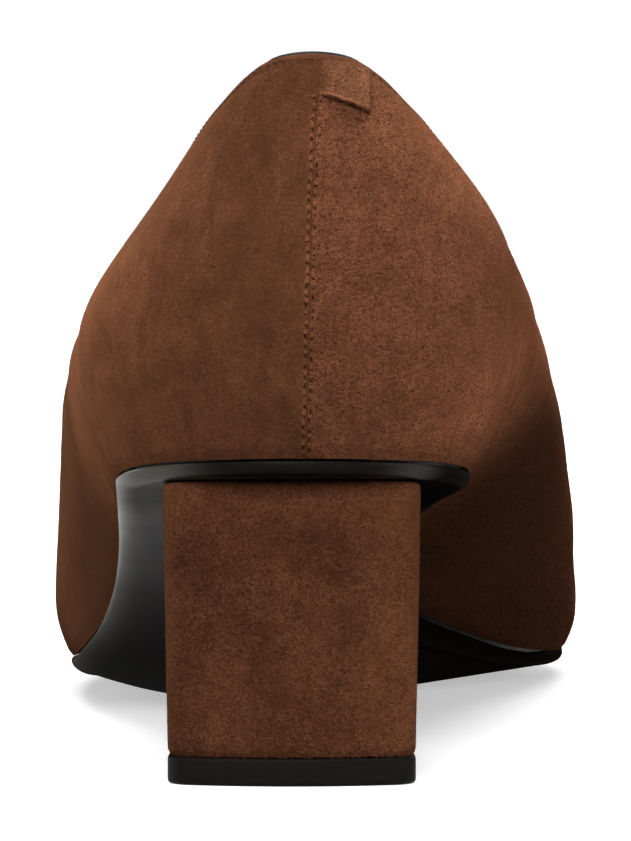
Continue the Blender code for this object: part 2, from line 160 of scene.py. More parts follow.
TOPLINE = Ring(
    rise=1.0, back=1.2, front=177.0, back_round=20.0, front_round=52.0, power=2.0,
    back_x=3.1, front_x=5.0,
    rows=(
        Row(1.2, -13.0, 107.8, 19.4, 107.8),
        Row(2.6, -13.0, 107.0, 19.4, 107.0),
        Row(5, -13.0, 104.7, 19.5, 104.7),
        Row(9, -13.2, 101.0, 19.8, 101.0),
        Row(14, -13.6, 97.6, 20.6, 97.6),
        Row(25, -15.6, 91.6, 22.8, 91.6),
        Row(40, -20.2, 84.6, 26.6, 84.6),
        Row(60, -24.6, 77.0, 30.8, 77.2),
        Row(85, -28.4, 69.0, 34.2, 69.4),
        Row(110, -30.6, 61.4, 35.6, 62.4),
        Row(135, -30.6, 54.0, 35.2, 55.6),
        Row(155, -29.0, 49.4, 33.6, 50.6),
        Row(168, -27.6, 49.0, 32.2, 49.6),
        Row(177, -26.6, 50.4, 31.2, 50.4),
    ))

RINGS = (FEATHER, LOW_WALL, MIDDLE_WALL, HIGH_WALL, TOPLINE)
RISES = tuple(ring.rise for ring in RINGS)

UNDERSIDE = (
    Under(0, 46.8, 0.0),
    Under(12, 44.8, 0.0),
    Under(25, 42.2, 0.0),
    Under(45, 37.2, 0.2),
    Under(65, 30.8, 0.5),
    Under(85, 23.2, 0.9),
    Under(105, 15.0, 1.3),
    Under(125, 7.6, 1.8),
    Under(143, 2.2, 2.2),
    Under(158, 0.0, 2.4),
    Under(190, 0.0, 2.0),
    Under(205, 0.9, 1.6),
    Under(220, 3.0, 1.2),
    Under(246, 8.8, 0.6),
)

# The back seam's x by its height up the wall, from the sole to the tab.
SEAM_BY_RISE = (SeamPoint(0.0, 2.1), SeamPoint(0.3, 2.5), SeamPoint(0.7, 3.1), SeamPoint(1.0, 4.2))
SEAM_HOLE_OFFSET = 0.46
CLEAR_OF_SEAM = 9.0

# Distances from the seam of the columns crowded beside it, and the even columns on each side.
NEAR_SEAM = (0.0, 0.16, 0.32, 0.5, 0.72, 1.0, 1.35, 1.8, 2.4, 3.1, 4.0, 5.1, 6.4, 8.0)
SUEDE_COLUMNS = 118
LINING_COLUMNS = 70

# Where the two sides' naps, and the walls' painted shade, blend into the toe's, in millimetres along.
VAMP_START = 152.0
VAMP_END = 202.0

# Soft folds pressed into the wall: (along, rise) from and to, width and lift in millimetres. On the outer
# side the lift also sets painted light where it is raised and painted shade where it is sunk.
COUNTER_HEIGHT = 58.0
CREASES = (
    Crease(1, (62, 0.62), (50, 0.08), 8.0, -0.8),
    Crease(-1, (41, 0.50), (27, 0.10), 4.5, 0.28),
    Crease(-1, (54, 0.50), (40, 0.10), 4.5, -0.17),
    Crease(-1, (72, 0.66), (60, 0.26), 5.0, 0.28),
    Crease(-1, (84, 0.60), (74, 0.26), 4.5, -0.14),
    Crease(-1, (96, 0.66), (86, 0.30), 5.5, 0.17),
)

TIP_HEIGHT = 4.1
TIP_EDGE = 0.7
BLOCK_BOW = 3.2
BLOCK_CORNER = 2.6
CORNER_STEPS = 8
SIDE_STEPS = 14
BLOCK_BOTTOM = Footprint(width=36.6, back=8.4, front=40.4, front_width=35.0)
BLOCK_TOP = Footprint(width=37.9, back=6.6, front=44.2, front_width=36.4)

# Patches of painted light on the walls of the inner and the outer side, as shares of the plain shade.
INNER_PAINTED_LIGHTS = (
    PaintedLight(1.15, 61.0, 22.0, 0.0, math.inf),
    PaintedLight(2.6, 46.0, 16.0, 0.30, 0.20),
    PaintedLight(2.2, 19.0, 11.0, 0.12, 0.15),
)
OUTER_PAINTED_LIGHTS = (PaintedLight(2.3, 42.0, 25.0, 0.27, 0.25),)

# How far in the sole's rounded edge reaches.
RIM_WIDTHS = (RimWidth(0, 2.6), RimWidth(25, 3.4), RimWidth(50, 6.0), RimWidth(100, 6.5), RimWidth(140, 4.0),
              RimWidth(246, 3.0))
SOLE_TOP_INSET = 0.4
SOLE_STATIONS = 180
SOLE_STRIPS = 36
INSOLE_STATIONS = 120
INSOLE_STRIPS = 24
INSOLE_THICKNESS = 1.8

TAB_LEFT_X = 3.9
TAB_RIGHT_X = 11.2
TAB_BOTTOM_RISE = 0.885
TAB_TOP_RISE = 0.99
TAB_WIDTH = 7.3
TAB_HEIGHT = 12.0

UPPER_NAP = Nap(hairs=90000, seed=11, length=0.42, tip_seed=21)
TAB_NAP = Nap(hairs=4500, seed=13, length=0.40, tip_seed=22)
BLOCK_NAP = Nap(hairs=26000, seed=17, length=0.50, tip_seed=23)
FRINGE_NAP = BLOCK_NAP._replace(hairs=1600, seed=19, length=0.60)

# Cross sections of one stitch: share of its length, width and height in thread radii.
THREAD_SECTIONS = (
    (0.0, 0.25, -1.0), (0.15, 0.85, 0.0), (0.5, 1.0, 0.45), (0.85, 0.85, 0.0), (1.0, 0.25, -1.0))
THREAD_SIDES = 6

WHITE = (1.0, 1.0, 1.0, 1.0)
FLOOR_HALF = 1.6
LAMP_TARGET = (0.0, 0.05, 0.06)
LAMPS = (
    Lamp("key", (-0.3, -2.2, 1.2), (1.2, 1.2), 46.0),
    Lamp("overhead", (0.0, -0.1, 2.2), (2.0, 2.0), 76.0),
    Lamp("left", (-2.0, -0.4, 0.8), (1.2, 1.0), 9.0),
    Lamp("left_back", (-1.5, 1.3, 0.3), (0.8, 0.5), 7.0),
    Lamp("right", (1.9, -1.1, 0.7), (1.0, 0.8), 16.0),
    Lamp("behind", (0.8, 2.2, 1.0), (1.6, 1.2), 14.0),
)


# Shared arithmetic

def mix(low, high, share):
    return low + (high - low) * share


def ease(share):
    share = np.clip(share, 0.0, 1.0)
    return share * share * (3.0 - 2.0 * share)


def ramp(value, start, end):
    """0 at the start and before it, 1 at the end and past it, smooth between."""
    return ease((value - start) / (end - start))


def hump(distance, width):
    """1 at zero distance, falling to nothing a few widths away."""
    return np.exp(-(distance / width) ** 2)


def table_values(rows, column, along):
    """Smooth cubic through a table's rows at many places at once, level beyond its ends.

    The rows' first column is what the places are measured in.
    """
    xs = np.array([row[0] for row in rows], float)
    ys = np.array([getattr(row, column) for row in rows], float)
    steps = np.diff(xs)
    grades = np.diff(ys) / steps
    slopes = np.empty(len(xs))
    slopes[0] = grades[0]
    slopes[-1] = grades[-1]
    shares = steps[:-1] / (steps[:-1] + steps[1:])
    inner = mix(grades[:-1], grades[1:], shares)
    slopes[1:-1] = np.where(grades[:-1] * grades[1:] <= 0.0, 0.0, inner)
    along = np.clip(along, xs[0], xs[-1])
    cell = np.clip(np.searchsorted(xs, along, side="left") - 1, 0, len(xs) - 2)
    step = steps[cell]
    t = (along - xs[cell]) / step
    start = (1 + 2 * t) * (1 - t) ** 2 * ys[cell] + t * (1 - t) ** 2 * step * slopes[cell]
    end = t * t * (3 - 2 * t) * ys[cell + 1] + t * t * (t - 1) * step * slopes[cell + 1]
    return start + end


def end_share(distance, length, power):
    t = np.clip(distance / length, 0.0, 1.0)
    return (1.0 - (1.0 - t) ** power) ** (1.0 / power)


def ring_x(ring, side, along, inset=0.0):
    """Edge of a ring at one side (-1 outer, +1 inner) with its ends rounded."""
    back = ring.back + inset
    front = ring.front - inset
    share = end_share(along - back, ring.back_round - inset, ring.power)
    share = share * end_share(front - along, ring.front_round - inset, ring.power)
    middle = mix(ring.back_x, ring.front_x, np.clip((along - back) / (front - back), 0.0, 1.0))
    column = "inner_x" if side > 0 else "outer_x"
    return mix(middle, table_values(ring.rows, column, along) - side * inset, share)


def ring_z(ring, side, along):
    return table_values(ring.rows, "inner_z" if side > 0 else "outer_z", along)


def ring_points(ring, turns, inset=0.0):
    turns = np.asarray(turns, float)
    share = (1.0 - np.cos(math.pi * np.abs(turns))) / 2.0
    along = mix(ring.back + inset, ring.front - inset, share)
    inner = turns >= 0.0
    x = np.where(inner, ring_x(ring, 1, along, inset), ring_x(ring, -1, along, inset))
    z = np.where(inner, ring_z(ring, 1, along), ring_z(ring, -1, along))
    return np.stack([x, along, z], axis=-1)


def spline_shares(place):
    """Weights of a natural cubic spline through the rings, for one place up the wall."""
    knots = np.array(RISES)
    count = len(knots)
    steps = np.diff(knots)
    system = np.eye(count)
    right = np.zeros((count, count))
    for k in range(1, count - 1):
        system[k, k - 1:k + 2] = (steps[k - 1], 2.0 * (steps[k - 1] + steps[k]), steps[k])
        right[k, k + 1] = 6.0 / steps[k]
        right[k, k - 1] = 6.0 / steps[k - 1]
        right[k, k] = -right[k, k + 1] - right[k, k - 1]
    bends = np.linalg.solve(system, right)
    cell = min(max(int(np.searchsorted(knots, place)) - 1, 0), count - 2)
    step = steps[cell]
    b = (place - knots[cell]) / step
    a = 1.0 - b
    shares = (a ** 3 - a) * step ** 2 / 6.0 * bends[cell]
    shares = shares + (b ** 3 - b) * step ** 2 / 6.0 * bends[cell + 1]
    shares[cell] += a
    shares[cell + 1] += b
    return shares


def last_points(turns, rise):
    """Points of the upper's outer surface at one height up the wall."""
    shares = spline_shares(rise)
    return sum(share * ring_points(ring, turns) for share, ring in zip(shares, RINGS))


def sole_share(x, along):
    outer = ring_x(FEATHER, -1, along)
    inner = ring_x(FEATHER, 1, along)
    return np.clip((x - outer) / np.maximum(inner - outer, 0.001), 0.0, 1.0)


def sole_top(x, along):
    share = sole_share(x, along)
    edge = mix(ring_z(FEATHER, -1, along), ring_z(FEATHER, 1, along), share)
    across = 2.0 * share - 1.0
    return edge - GAP - table_values(UNDERSIDE, "dish", along) * (1.0 - across ** 2) ** 2


def sole_bottom(x, along):
    share = sole_share(x, along)
    edge_top = mix(ring_z(FEATHER, -1, along), ring_z(FEATHER, 1, along), share) - GAP
    seat = ramp(along, SEAT_END, BALL_START)
    edge = edge_top - mix(SOLE_EDGE_SEAT, SOLE_EDGE_TOE, seat)
    slanted = along - BALL_LINE_SLANT * seat * (x - BALL_LINE_MIDDLE_X)
    middle = table_values(UNDERSIDE, "middle_z", slanted)
    aside = np.abs(2.0 * share - 1.0)
    offset = np.clip((aside - TREAD_FLAT_SHARE) / (1.0 - TREAD_FLAT_SHARE), 0.0, 1.0)
    return mix(np.minimum(middle, edge), edge, offset ** TREAD_EDGE_POWER)


def to_frame(points):
    """From millimetres along the shoe to metres in the part's frame."""
    return (np.asarray(points, float) - (0.0, TIP_CENTRE_ALONG, 0.0)) * MM


# Mesh building

def new_piece(name, points, faces, materials, stands_for=(), smooth=40.0):
    """A named mesh that rides on the shoe; points are in the tables' millimetres."""
    mesh = bpy.data.meshes.new(name)
    mesh.from_pydata(to_frame(points).tolist(), [], faces)
    work = bmesh.new()
    work.from_mesh(mesh)
    bmesh.ops.recalc_face_normals(work, faces=work.faces)
    work.to_mesh(mesh)
    work.free()
    for material in materials:
        mesh.materials.append(material)
    mesh.polygons.foreach_set("use_smooth", [True] * len(mesh.polygons))
    mesh.set_sharp_from_angle(angle=math.radians(smooth))
    piece = bpy.data.objects.new(name, mesh)
    bpy.context.scene.collection.objects.link(piece)
    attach(piece, "root")
    if stands_for:
        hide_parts(*stands_for)
    return piece


def add_number(piece, name, values):
    layer = piece.data.attributes.new(name, "FLOAT", "POINT")
    layer.data.foreach_set("value", np.asarray(values, np.float32).ravel())


def wrapped_faces(rows, columns, closed_rows=True):
    """Faces of a grid closed round the shoe and, if asked, from its last loop to its first."""
    faces = []
    for row in range(rows if closed_rows else rows - 1):
        low = row * columns
        high = ((row + 1) % rows) * columns
        for k in range(columns):
            right = (k + 1) % columns
            faces.append((low + k, low + right, high + right, high + k))
    return faces


def grid_normals(grid):
    """Outward unit normals of a grid of points that is closed round the shoe."""
    across = np.roll(grid, -1, axis=1) - np.roll(grid, 1, axis=1)
    up = np.gradient(grid, axis=0)
    normals = np.cross(across, up)
    return normals / np.maximum(np.linalg.norm(normals, axis=2, keepdims=True), 1e-9)


def columns_from_seam(rise, far_columns):
    """Turns of the columns at one height, even along the wall and crowded at the back seam."""
    fine = np.linspace(-1.0, 1.0, 1601)
    points = last_points(fine, rise)
    walk = np.concatenate([[0.0], np.cumsum(np.linalg.norm(np.diff(points, axis=0), axis=1))])
    seam_x = float(table_values(SEAM_BY_RISE, "x", rise))
    back = np.abs(fine) < 0.25
    seam_walk = float(np.interp(seam_x, points[back, 0], walk[back]))
    near = np.array(NEAR_SEAM)
    far_share = np.linspace(0.0, 1.0, far_columns + 1)[1:]
    inner = np.concatenate([near, mix(near[-1], walk[-1] - seam_walk, far_share)])
    outer = np.concatenate([near, mix(near[-1], seam_walk, far_share)])
    offsets = np.concatenate([-outer[::-1], inner[1:-1]])
    turns = np.interp(seam_walk + offsets, walk, fine)
    return turns, offsets


def wall_grid(rises, far_columns):
    """Grid of outer-surface points, with each point's distance round from the seam."""
    columns = [columns_from_seam(rise, far_columns) for rise in rises]
    loops = [last_points(turns, rise) for (turns, _), rise in zip(columns, rises)]
    return np.array(loops), np.array([offsets for _, offsets in columns])


def lumps(points, size, seed):
    """Smooth noise between -1 and 1 whose features are about `size` millimetres."""
    shift = Vector((seed * 3.1, seed * 7.7, seed * 1.3))
    flat = points.reshape(-1, 3)
    values = [noise.noise(Vector(point) / size + shift) for point in flat]
    return np.array(values).reshape(points.shape[:-1])


def nap_hairs(grid, nap, wild):
    """Single-triangle hairs rooted on a grid that is closed round the shoe.

    `wild` runs from 0, brushed down flat, to 1, curled every way, for each cell.  Returns the
    triangles' points and the cell that each hair stands on.
    """
    count = nap.hairs
    rng = np.random.default_rng(nap.seed)
    low = grid[:-1]
    low_right = np.roll(low, -1, axis=1)
    high = grid[1:]
    high_right = np.roll(high, -1, axis=1)
    across = ((low_right - low + high_right - high) / 2.0).reshape(-1, 3)
    up = ((high - low + high_right - low_right) / 2.0).reshape(-1, 3)
    normal = np.cross(across, up)
    area = np.linalg.norm(normal, axis=1)
    cell = rng.choice(len(area), count, p=area / area.sum())
    across = across[cell]
    up = up[cell]
    normal = normal[cell] / area[cell][:, None]
    root = low.reshape(-1, 3)[cell] + across * rng.random((count, 1))
    root = root + up * rng.random((count, 1))
    down = -up / np.linalg.norm(up, axis=1, keepdims=True)
    side = np.cross(normal, down)
    loose = wild.ravel()[cell]
    angle = rng.normal(0.35, 0.35, count) * (1.0 - loose)
    angle = angle + rng.uniform(-math.pi, math.pi, count) * loose
    lean = down * np.cos(angle)[:, None] + side * np.sin(angle)[:, None]
    lift = rng.uniform(0.12, 0.42, count) + 0.35 * loose * rng.random(count)
    heading = lean * np.cos(lift)[:, None] + normal * np.sin(lift)[:, None]
    half = np.cross(heading, normal)
    half *= (0.030 + 0.020 * rng.random((count, 1))) / np.linalg.norm(half, axis=1, keepdims=True)
    root = root - normal * 0.04
    tip = root + heading * nap.length * rng.uniform(0.5, 1.3, (count, 1))
    return np.stack([root - half, root + half, tip], axis=1).reshape(-1, 3), cell


def add_nap_tips(piece, nap, skin_points, hairs, strength=1.0):
    """Marks how much each hair catches the light; the skin under the hairs is left as it is."""
    tips = np.random.default_rng(nap.tip_seed).random(hairs) ** 2 * strength
    add_number(piece, "nap_tip", np.concatenate([np.zeros(skin_points), np.repeat(tips, 3)]))


def with_hairs(points, faces, hairs):
    """The mesh with its hairs' triangles joined on."""
    base = len(points)
    faces = list(faces)
    faces += [(base + k, base + k + 1, base + k + 2) for k in range(0, len(hairs), 3)]
    return np.concatenate([np.asarray(points), hairs]), faces


def thread_mesh(segments, radius):
    """Joined short rounded threads; each segment is (start, end, outward normal) in millimetres."""
    points = []
    faces = []
    for start, end, normal in segments:
        start = Vector(start)
        end = Vector(end)
        normal = Vector(normal).normalized()
        side = (end - start).cross(normal).normalized()
        base = len(points)
        for share, width, lift in THREAD_SECTIONS:
            centre = start.lerp(end, share) + normal * radius * lift
            for k in range(THREAD_SIDES):
                angle = math.tau * k / THREAD_SIDES
                reach = side * math.cos(angle) + normal * math.sin(angle)
                points.append(centre + reach * radius * width)
        last = base + (len(THREAD_SECTIONS) - 1) * THREAD_SIDES
        for low in range(base, last, THREAD_SIDES):
            high = low + THREAD_SIDES
            for k in range(THREAD_SIDES):
                right = (k + 1) % THREAD_SIDES
                faces.append((low + k, low + right, high + right, high + k))
        faces.append(tuple(base + k for k in reversed(range(THREAD_SIDES))))
        faces.append(tuple(last + k for k in range(THREAD_SIDES)))
    return [tuple(point) for point in points], faces


def plate_faces(rows, columns):
    """Faces of a closed plate whose two sides are grids of (rows+1) by (columns+1) points."""
    across = columns + 1
    layer = (rows + 1) * across
    faces = []
    for row in range(rows):
        for column in range(columns):
            corner = row * across + column
            quad = (corner, corner + 1, corner + 1 + across, corner + across)
            faces.append(tuple(reversed(quad)))
            faces.append(tuple(k + layer for k in quad))
    border = list(range(columns))
    border += [row * across + columns for row in range(rows)]
    border += [rows * across + column for column in range(columns, 0, -1)]
    border += [row * across for row in range(rows, 0, -1)]
    for k, here in enumerate(border):
        following = border[(k + 1) % len(border)]
        faces.append((here, following, following + layer, here + layer))
    return faces


# Node materials

class Finish:
    """A node material in the making: its tree and shader, and short calls for the usual nodes."""

    def __init__(self, name):
        self.material = bpy.data.materials.new(name)
        self.material.use_nodes = True
        self.tree = self.material.node_tree
        self.shader = self.tree.nodes["Principled BSDF"]

    def feed(self, socket, value):
        """Links an output to the socket, or sets a plain value on it."""
        if isinstance(value, bpy.types.NodeSocket):
            self.tree.links.new(value, socket)
        else:
            socket.default_value = value

    def node(self, kind, inputs, **settings):
        """A node with its settings made and its sockets, by name or number, fed."""
        node = self.tree.nodes.new(kind)
        for key, value in settings.items():
            setattr(node, key, value)
        for key, value in inputs.items():
            self.feed(node.inputs[key], value)
        return node

    def place(self, stretch=(1.0, 1.0, 1.0), turn=(0.0, 0.0, 0.0)):
        """Object coordinates in metres, stretched and turned."""
        coords = self.node("ShaderNodeTexCoord", {}).outputs["Object"]
        mapping = self.node("ShaderNodeMapping", {"Vector": coords, "Scale": stretch, "Rotation": turn})
        return mapping.outputs["Vector"]

    def noise(self, place, size_mm, detail=4.0, roughness=0.55, distortion=0.0):
        return self.node("ShaderNodeTexNoise", {
            "Vector": place, "Scale": 1000.0 / size_mm, "Detail": detail, "Roughness": roughness,
            "Distortion": distortion}).outputs["Fac"]

    def ranged(self, value, low, high, to_low, to_high):
        return self.node("ShaderNodeMapRange", {
            "Value": value, "From Min": low, "From Max": high, "To Min": to_low,
            "To Max": to_high}).outputs["Result"]

    def sums(self, operation, first, *others):
        """The operation on the values in turn; a single value is worked on alone."""
        for other in others or (0.0,):
            first = self.node("ShaderNodeMath", {0: first, 1: other}, operation=operation).outputs["Value"]
        return first

    def times(self, *values):
        return self.sums("MULTIPLY", *values)

    def plus(self, *values):
        return self.sums("ADD", *values)

    def scaled(self, colour, factor):
        node = self.node("ShaderNodeVectorMath", {"Vector": colour, "Scale": factor}, operation="SCALE")
        return node.outputs["Vector"]

    def mixed(self, factor, first, second):
        colours = [colour if isinstance(colour, bpy.types.NodeSocket) else (*colour, 1.0)
                   for colour in (first, second)]
        inputs = {"Factor": factor, 6: colours[0], 7: colours[1]}
        return self.node("ShaderNodeMix", inputs, data_type="RGBA").outputs[2]

    def attribute(self, name):
        return self.node("ShaderNodeAttribute", {}, attribute_name=name).outputs["Fac"]

    def bump(self, height, distance_mm, strength):
        return self.node("ShaderNodeBump", {
            "Height": height, "Distance": distance_mm * MM, "Strength": strength}).outputs["Normal"]

    def done(self, inputs):
        """Feeds the shader's sockets and gives the material."""
        for name, value in inputs.items():
            self.feed(self.shader.inputs[name], value)
        return self.material


def with_back_seam(finish, light, height, pitch):
    """The suede's light and height with two rows of needle holes, puffs between and a closed line."""
    plain = finish.place()
    wander = finish.noise(plain, 1.7, 2.0, 0.6)
    wobble = finish.noise(plain, 0.9, 2.0, 0.6)
    offset = finish.plus(finish.attribute("seam_offset"), finish.ranged(wander, 0.3, 0.7, -0.14, 0.14))
    place = finish.plus(finish.attribute("seam_height"), finish.ranged(wobble, 0.3, 0.7, -0.42, 0.42),
                        finish.ranged(offset, -0.05, 0.05, 0.0, 0.4 * pitch))
    wave = finish.sums("SINE", finish.times(place, math.tau / pitch))
    aside = finish.sums("ABSOLUTE", offset)
    away = finish.sums("ABSOLUTE", finish.sums("SUBTRACT", aside, SEAM_HOLE_OFFSET))
    hole = finish.times(finish.ranged(away, 0.05, 0.26, 1.0, 0.0), finish.ranged(wave, 0.25, 0.85, 0.0, 1.0),
                        finish.ranged(offset, -0.2, 0.2, 0.85, 0.92))
    puff = finish.times(finish.ranged(away, 0.10, 0.34, 1.0, 0.0), finish.ranged(wave, -0.1, -0.8, 0.0, 1.0),
                        finish.ranged(offset, -0.2, 0.2, 0.9, 0.4))
    line = finish.times(finish.ranged(aside, 0.03, 0.16, 0.42, 0.0),
                        finish.ranged(wobble, 0.35, 0.6, 1.0, 0.1))
    light = finish.times(light, finish.sums("SUBTRACT", 1.0, line), finish.sums("SUBTRACT", 1.0, hole),
                         finish.plus(1.0, puff))
    return light, finish.sums("SUBTRACT", height, hole)


def suede_material(name, smooth_colour, rough_colour, panel=None, shade=None, nap=1.0, seam_pitch=None):
    """Napped suede: soft blotches, brush strokes, curled fibres and, if asked, the back seam's holes."""
    finish = Finish(name)
    plain = finish.place()
    strokes = finish.place((1.0, 1.0, 0.3), (0.0, math.radians(24.0), 0.0))
    blotch = finish.noise(plain, 24.0, 3.0, 0.5, 0.8)
    cloud = finish.noise(plain, 7.0, 4.0, 0.6, 0.8)
    brushed = finish.noise(strokes, 2.2, 4.0, 0.6, 0.5)
    curl = finish.noise(plain, 0.72, 3.0, 0.65, 2.0)
    fibre = finish.noise(plain, 0.40, 2.0, 0.7, 1.0)

    amount = finish.ranged(cloud, 0.35, 0.65, 0.65, 1.3)
    if panel:
        rough_share = finish.attribute(panel)
        amount = finish.times(amount, finish.ranged(rough_share, 0.0, 1.0, 0.45, 1.4))
    else:
        rough_share = finish.ranged(blotch, 0.35, 0.65, 0.0, 1.0)
    colour = finish.mixed(rough_share, smooth_colour, rough_colour)
    coarse = finish.ranged(curl, 0.32, 0.66, -0.27 * nap, 0.60 * nap)
    fine = finish.ranged(fibre, 0.34, 0.66, -0.27 * nap, 0.62 * nap)
    speckle = finish.times(finish.plus(coarse, fine), amount)
    light = finish.times(
        finish.ranged(blotch, 0.3, 0.7, 0.86, 1.14), finish.ranged(cloud, 0.3, 0.7, 0.84, 1.16),
        finish.ranged(brushed, 0.25, 0.75, 0.84, 1.16), finish.plus(speckle, 1.0))
    # The named shade attribute, where given, multiplies in painted light and shade.
    if shade:
        light = finish.times(light, finish.attribute(shade))
    tips = finish.times(finish.attribute("nap_tip"), 1.5 * nap)
    light = finish.times(light, finish.plus(tips, 1.0))
    height = finish.times(finish.plus(finish.times(fibre, 0.5), finish.times(curl, 0.8)), amount)
    if seam_pitch:
        light, height = with_back_seam(finish, light, height, seam_pitch)
    curls = finish.times(finish.ranged(curl, 0.54, 0.66, 0.0, 0.62 * nap), amount)
    tan = tuple(1.75 * channel + 0.014 for channel in rough_colour)
    return finish.done({
        "Base Color": finish.mixed(curls, finish.scaled(colour, light), tan),
        "Roughness": finish.ranged(curl, 0.3, 0.7, 0.86, 1.0),
        "Specular IOR Level": 0.0,
        "Sheen Weight": 0.2,
        "Sheen Roughness": 0.5,
        "Sheen Tint": (1.0, 0.42, 0.21, 1.0),
        "Normal": finish.bump(height, 0.42 * nap, 0.9),
    })


def rubbed_leather(finish):
    """Rubbed patches and lengthwise streaks of smooth leather, and how they lighten it."""
    patch = finish.noise(finish.place(), 12.0, 4.0, 0.6)
    streak = finish.noise(finish.place((1.0, 0.12, 1.0)), 1.8, 4.0, 0.6)
    light = finish.times(finish.ranged(patch, 0.3, 0.7, 0.82, 1.18),
                         finish.ranged(streak, 0.3, 0.7, 0.92, 1.08))
    return patch, streak, light


def smooth_leather_material(name, colour, roughness, grain_mm, grain_depth):
    """Smooth leather or board: faint pebble grain, rubbed patches and a little gloss."""
    finish = Finish(name)
    patch, streak, light = rubbed_leather(finish)
    cells = finish.node("ShaderNodeTexVoronoi", {"Scale": 1000.0 / grain_mm, "Vector": finish.place()},
                        feature="SMOOTH_F1")
    return finish.done({
        "Base Color": finish.scaled(colour, light),
        "Roughness": finish.plus(finish.ranged(patch, 0.3, 0.7, -0.06, 0.06),
                                 finish.ranged(streak, 0.3, 0.7, roughness - 0.05, roughness + 0.05)),
        "Specular IOR Level": 0.3,
        "Normal": finish.bump(finish.plus(cells.outputs["Distance"], finish.times(streak, 0.5)),
                              grain_depth, 0.5),
    })


def polished_sole_material(name, colour):
    """Black sole leather under a thin coat; the polish attribute sets the coat's weight and lightens the
    base colour as a painted sheen and reflection of the pale floor.
    """
    finish = Finish(name)
    patch, streak, light = rubbed_leather(finish)
    polish_and_painted_sheen = finish.attribute("polish_and_painted_sheen")
    # Painted sheen: the base colour lightened up to fourteen times where the polish attribute is high.
    light = finish.times(light, finish.ranged(polish_and_painted_sheen, 0.0, 1.0, 0.2, 14.0))
    return finish.done({
        "Base Color": finish.scaled(colour, light),
        "Roughness": finish.ranged(streak, 0.3, 0.7, 0.42, 0.52),
        "Coat Weight": finish.times(polish_and_painted_sheen, finish.ranged(patch, 0.3, 0.7, 0.80, 0.94)),
        "Coat Roughness": 0.30,
        "Sheen Weight": 0.03,
        "Sheen Roughness": 0.5,
        "Sheen Tint": (1.0, 0.74, 0.52, 1.0),
        "Specular IOR Level": 0.0,
        "Normal": finish.bump(streak, 0.002, 0.5),
    })


def rubber_material(name, colour):
    """Moulded black rubber with a fine matt skin and a few pale scuffs."""
    finish = Finish(name)
    skin = finish.noise(finish.place(), 0.5, 3.0, 0.6)
    scuff = finish.noise(finish.place((0.25, 1.0, 3.0)), 5.0, 5.0, 0.65)
    light = finish.plus(finish.ranged(skin, 0.3, 0.7, 0.85, 1.15), finish.ranged(scuff, 0.62, 0.8, 0.0, 1.6))
    return finish.done({
        "Base Color": finish.scaled(colour, light),
        "Roughness": finish.ranged(skin, 0.3, 0.7, 0.5, 0.68),
        "Specular IOR Level": 0.05,
        "Normal": finish.bump(skin, 0.08, 0.6),
    })


def thread_material(name, colour):
    """Twisted sewing thread."""
    finish = Finish(name)
    twist = finish.noise(finish.place((1.0, 1.0, 3.0), (0.6, 0.6, 0.0)), 0.25, 2.0, 0.5)
    return finish.done({
        "Base Color": finish.scaled(colour, finish.ranged(twist, 0.3, 0.7, 0.7, 1.3)),
        "Roughness": finish.ranged(twist, 0.3, 0.7, 0.6, 0.8),
        "Specular IOR Level": 0.06,
        "Normal": finish.bump(twist, 0.05, 0.6),
    })


def floor_material(name, colour):
    """Pale matt floor that glows a little, more so away from the shoe, like a lit photo table."""
    finish = Finish(name)
    grain = finish.noise(finish.place(), 60.0, 3.0)
    away = finish.node("ShaderNodeVectorMath", {0: finish.place(), 1: (0.0, 0.1, 0.0)}, operation="DISTANCE")
    return finish.done({
        "Base Color": finish.scaled(colour, finish.ranged(grain, 0.3, 0.7, 0.99, 1.01)),
        "Roughness": 0.9,
        "Specular IOR Level": 0.1,
        "Emission Color": WHITE,
        "Emission Strength": finish.ranged(away.outputs["Value"], 0.08, 0.4, 0.45, 0.62),
    })


# Settings that a user would change

class PumpSizes(bpy.types.PropertyGroup):
    suede_thickness: bpy.props.FloatProperty(
        name="Suede", description="Thickness of the suede", default=0.0009, unit="LENGTH")
    lining_thickness: bpy.props.FloatProperty(
        name="Lining", description="Thickness of the lining", default=0.0007, unit="LENGTH")
    seam_depth: bpy.props.FloatProperty(
        name="Seam depth", description="Depth of the back seam's groove", default=0.00042, unit="LENGTH")
    seam_pitch: bpy.props.FloatProperty(
        name="Seam stitch", description="Distance between the back seam's stitches", default=0.0015,
        unit="LENGTH")
    edge_pitch: bpy.props.FloatProperty(
        name="Edge stitch", description="Distance between the topline's stitches", default=0.0013,
        unit="LENGTH")
    edge_inset: bpy.props.FloatProperty(
        name="Edge inset", description="Distance of the edge stitches below the topline", default=0.0005,
        unit="LENGTH")
    thread_radius: bpy.props.FloatProperty(
        name="Thread", description="Radius of the sewing thread", default=0.00015, unit="LENGTH")


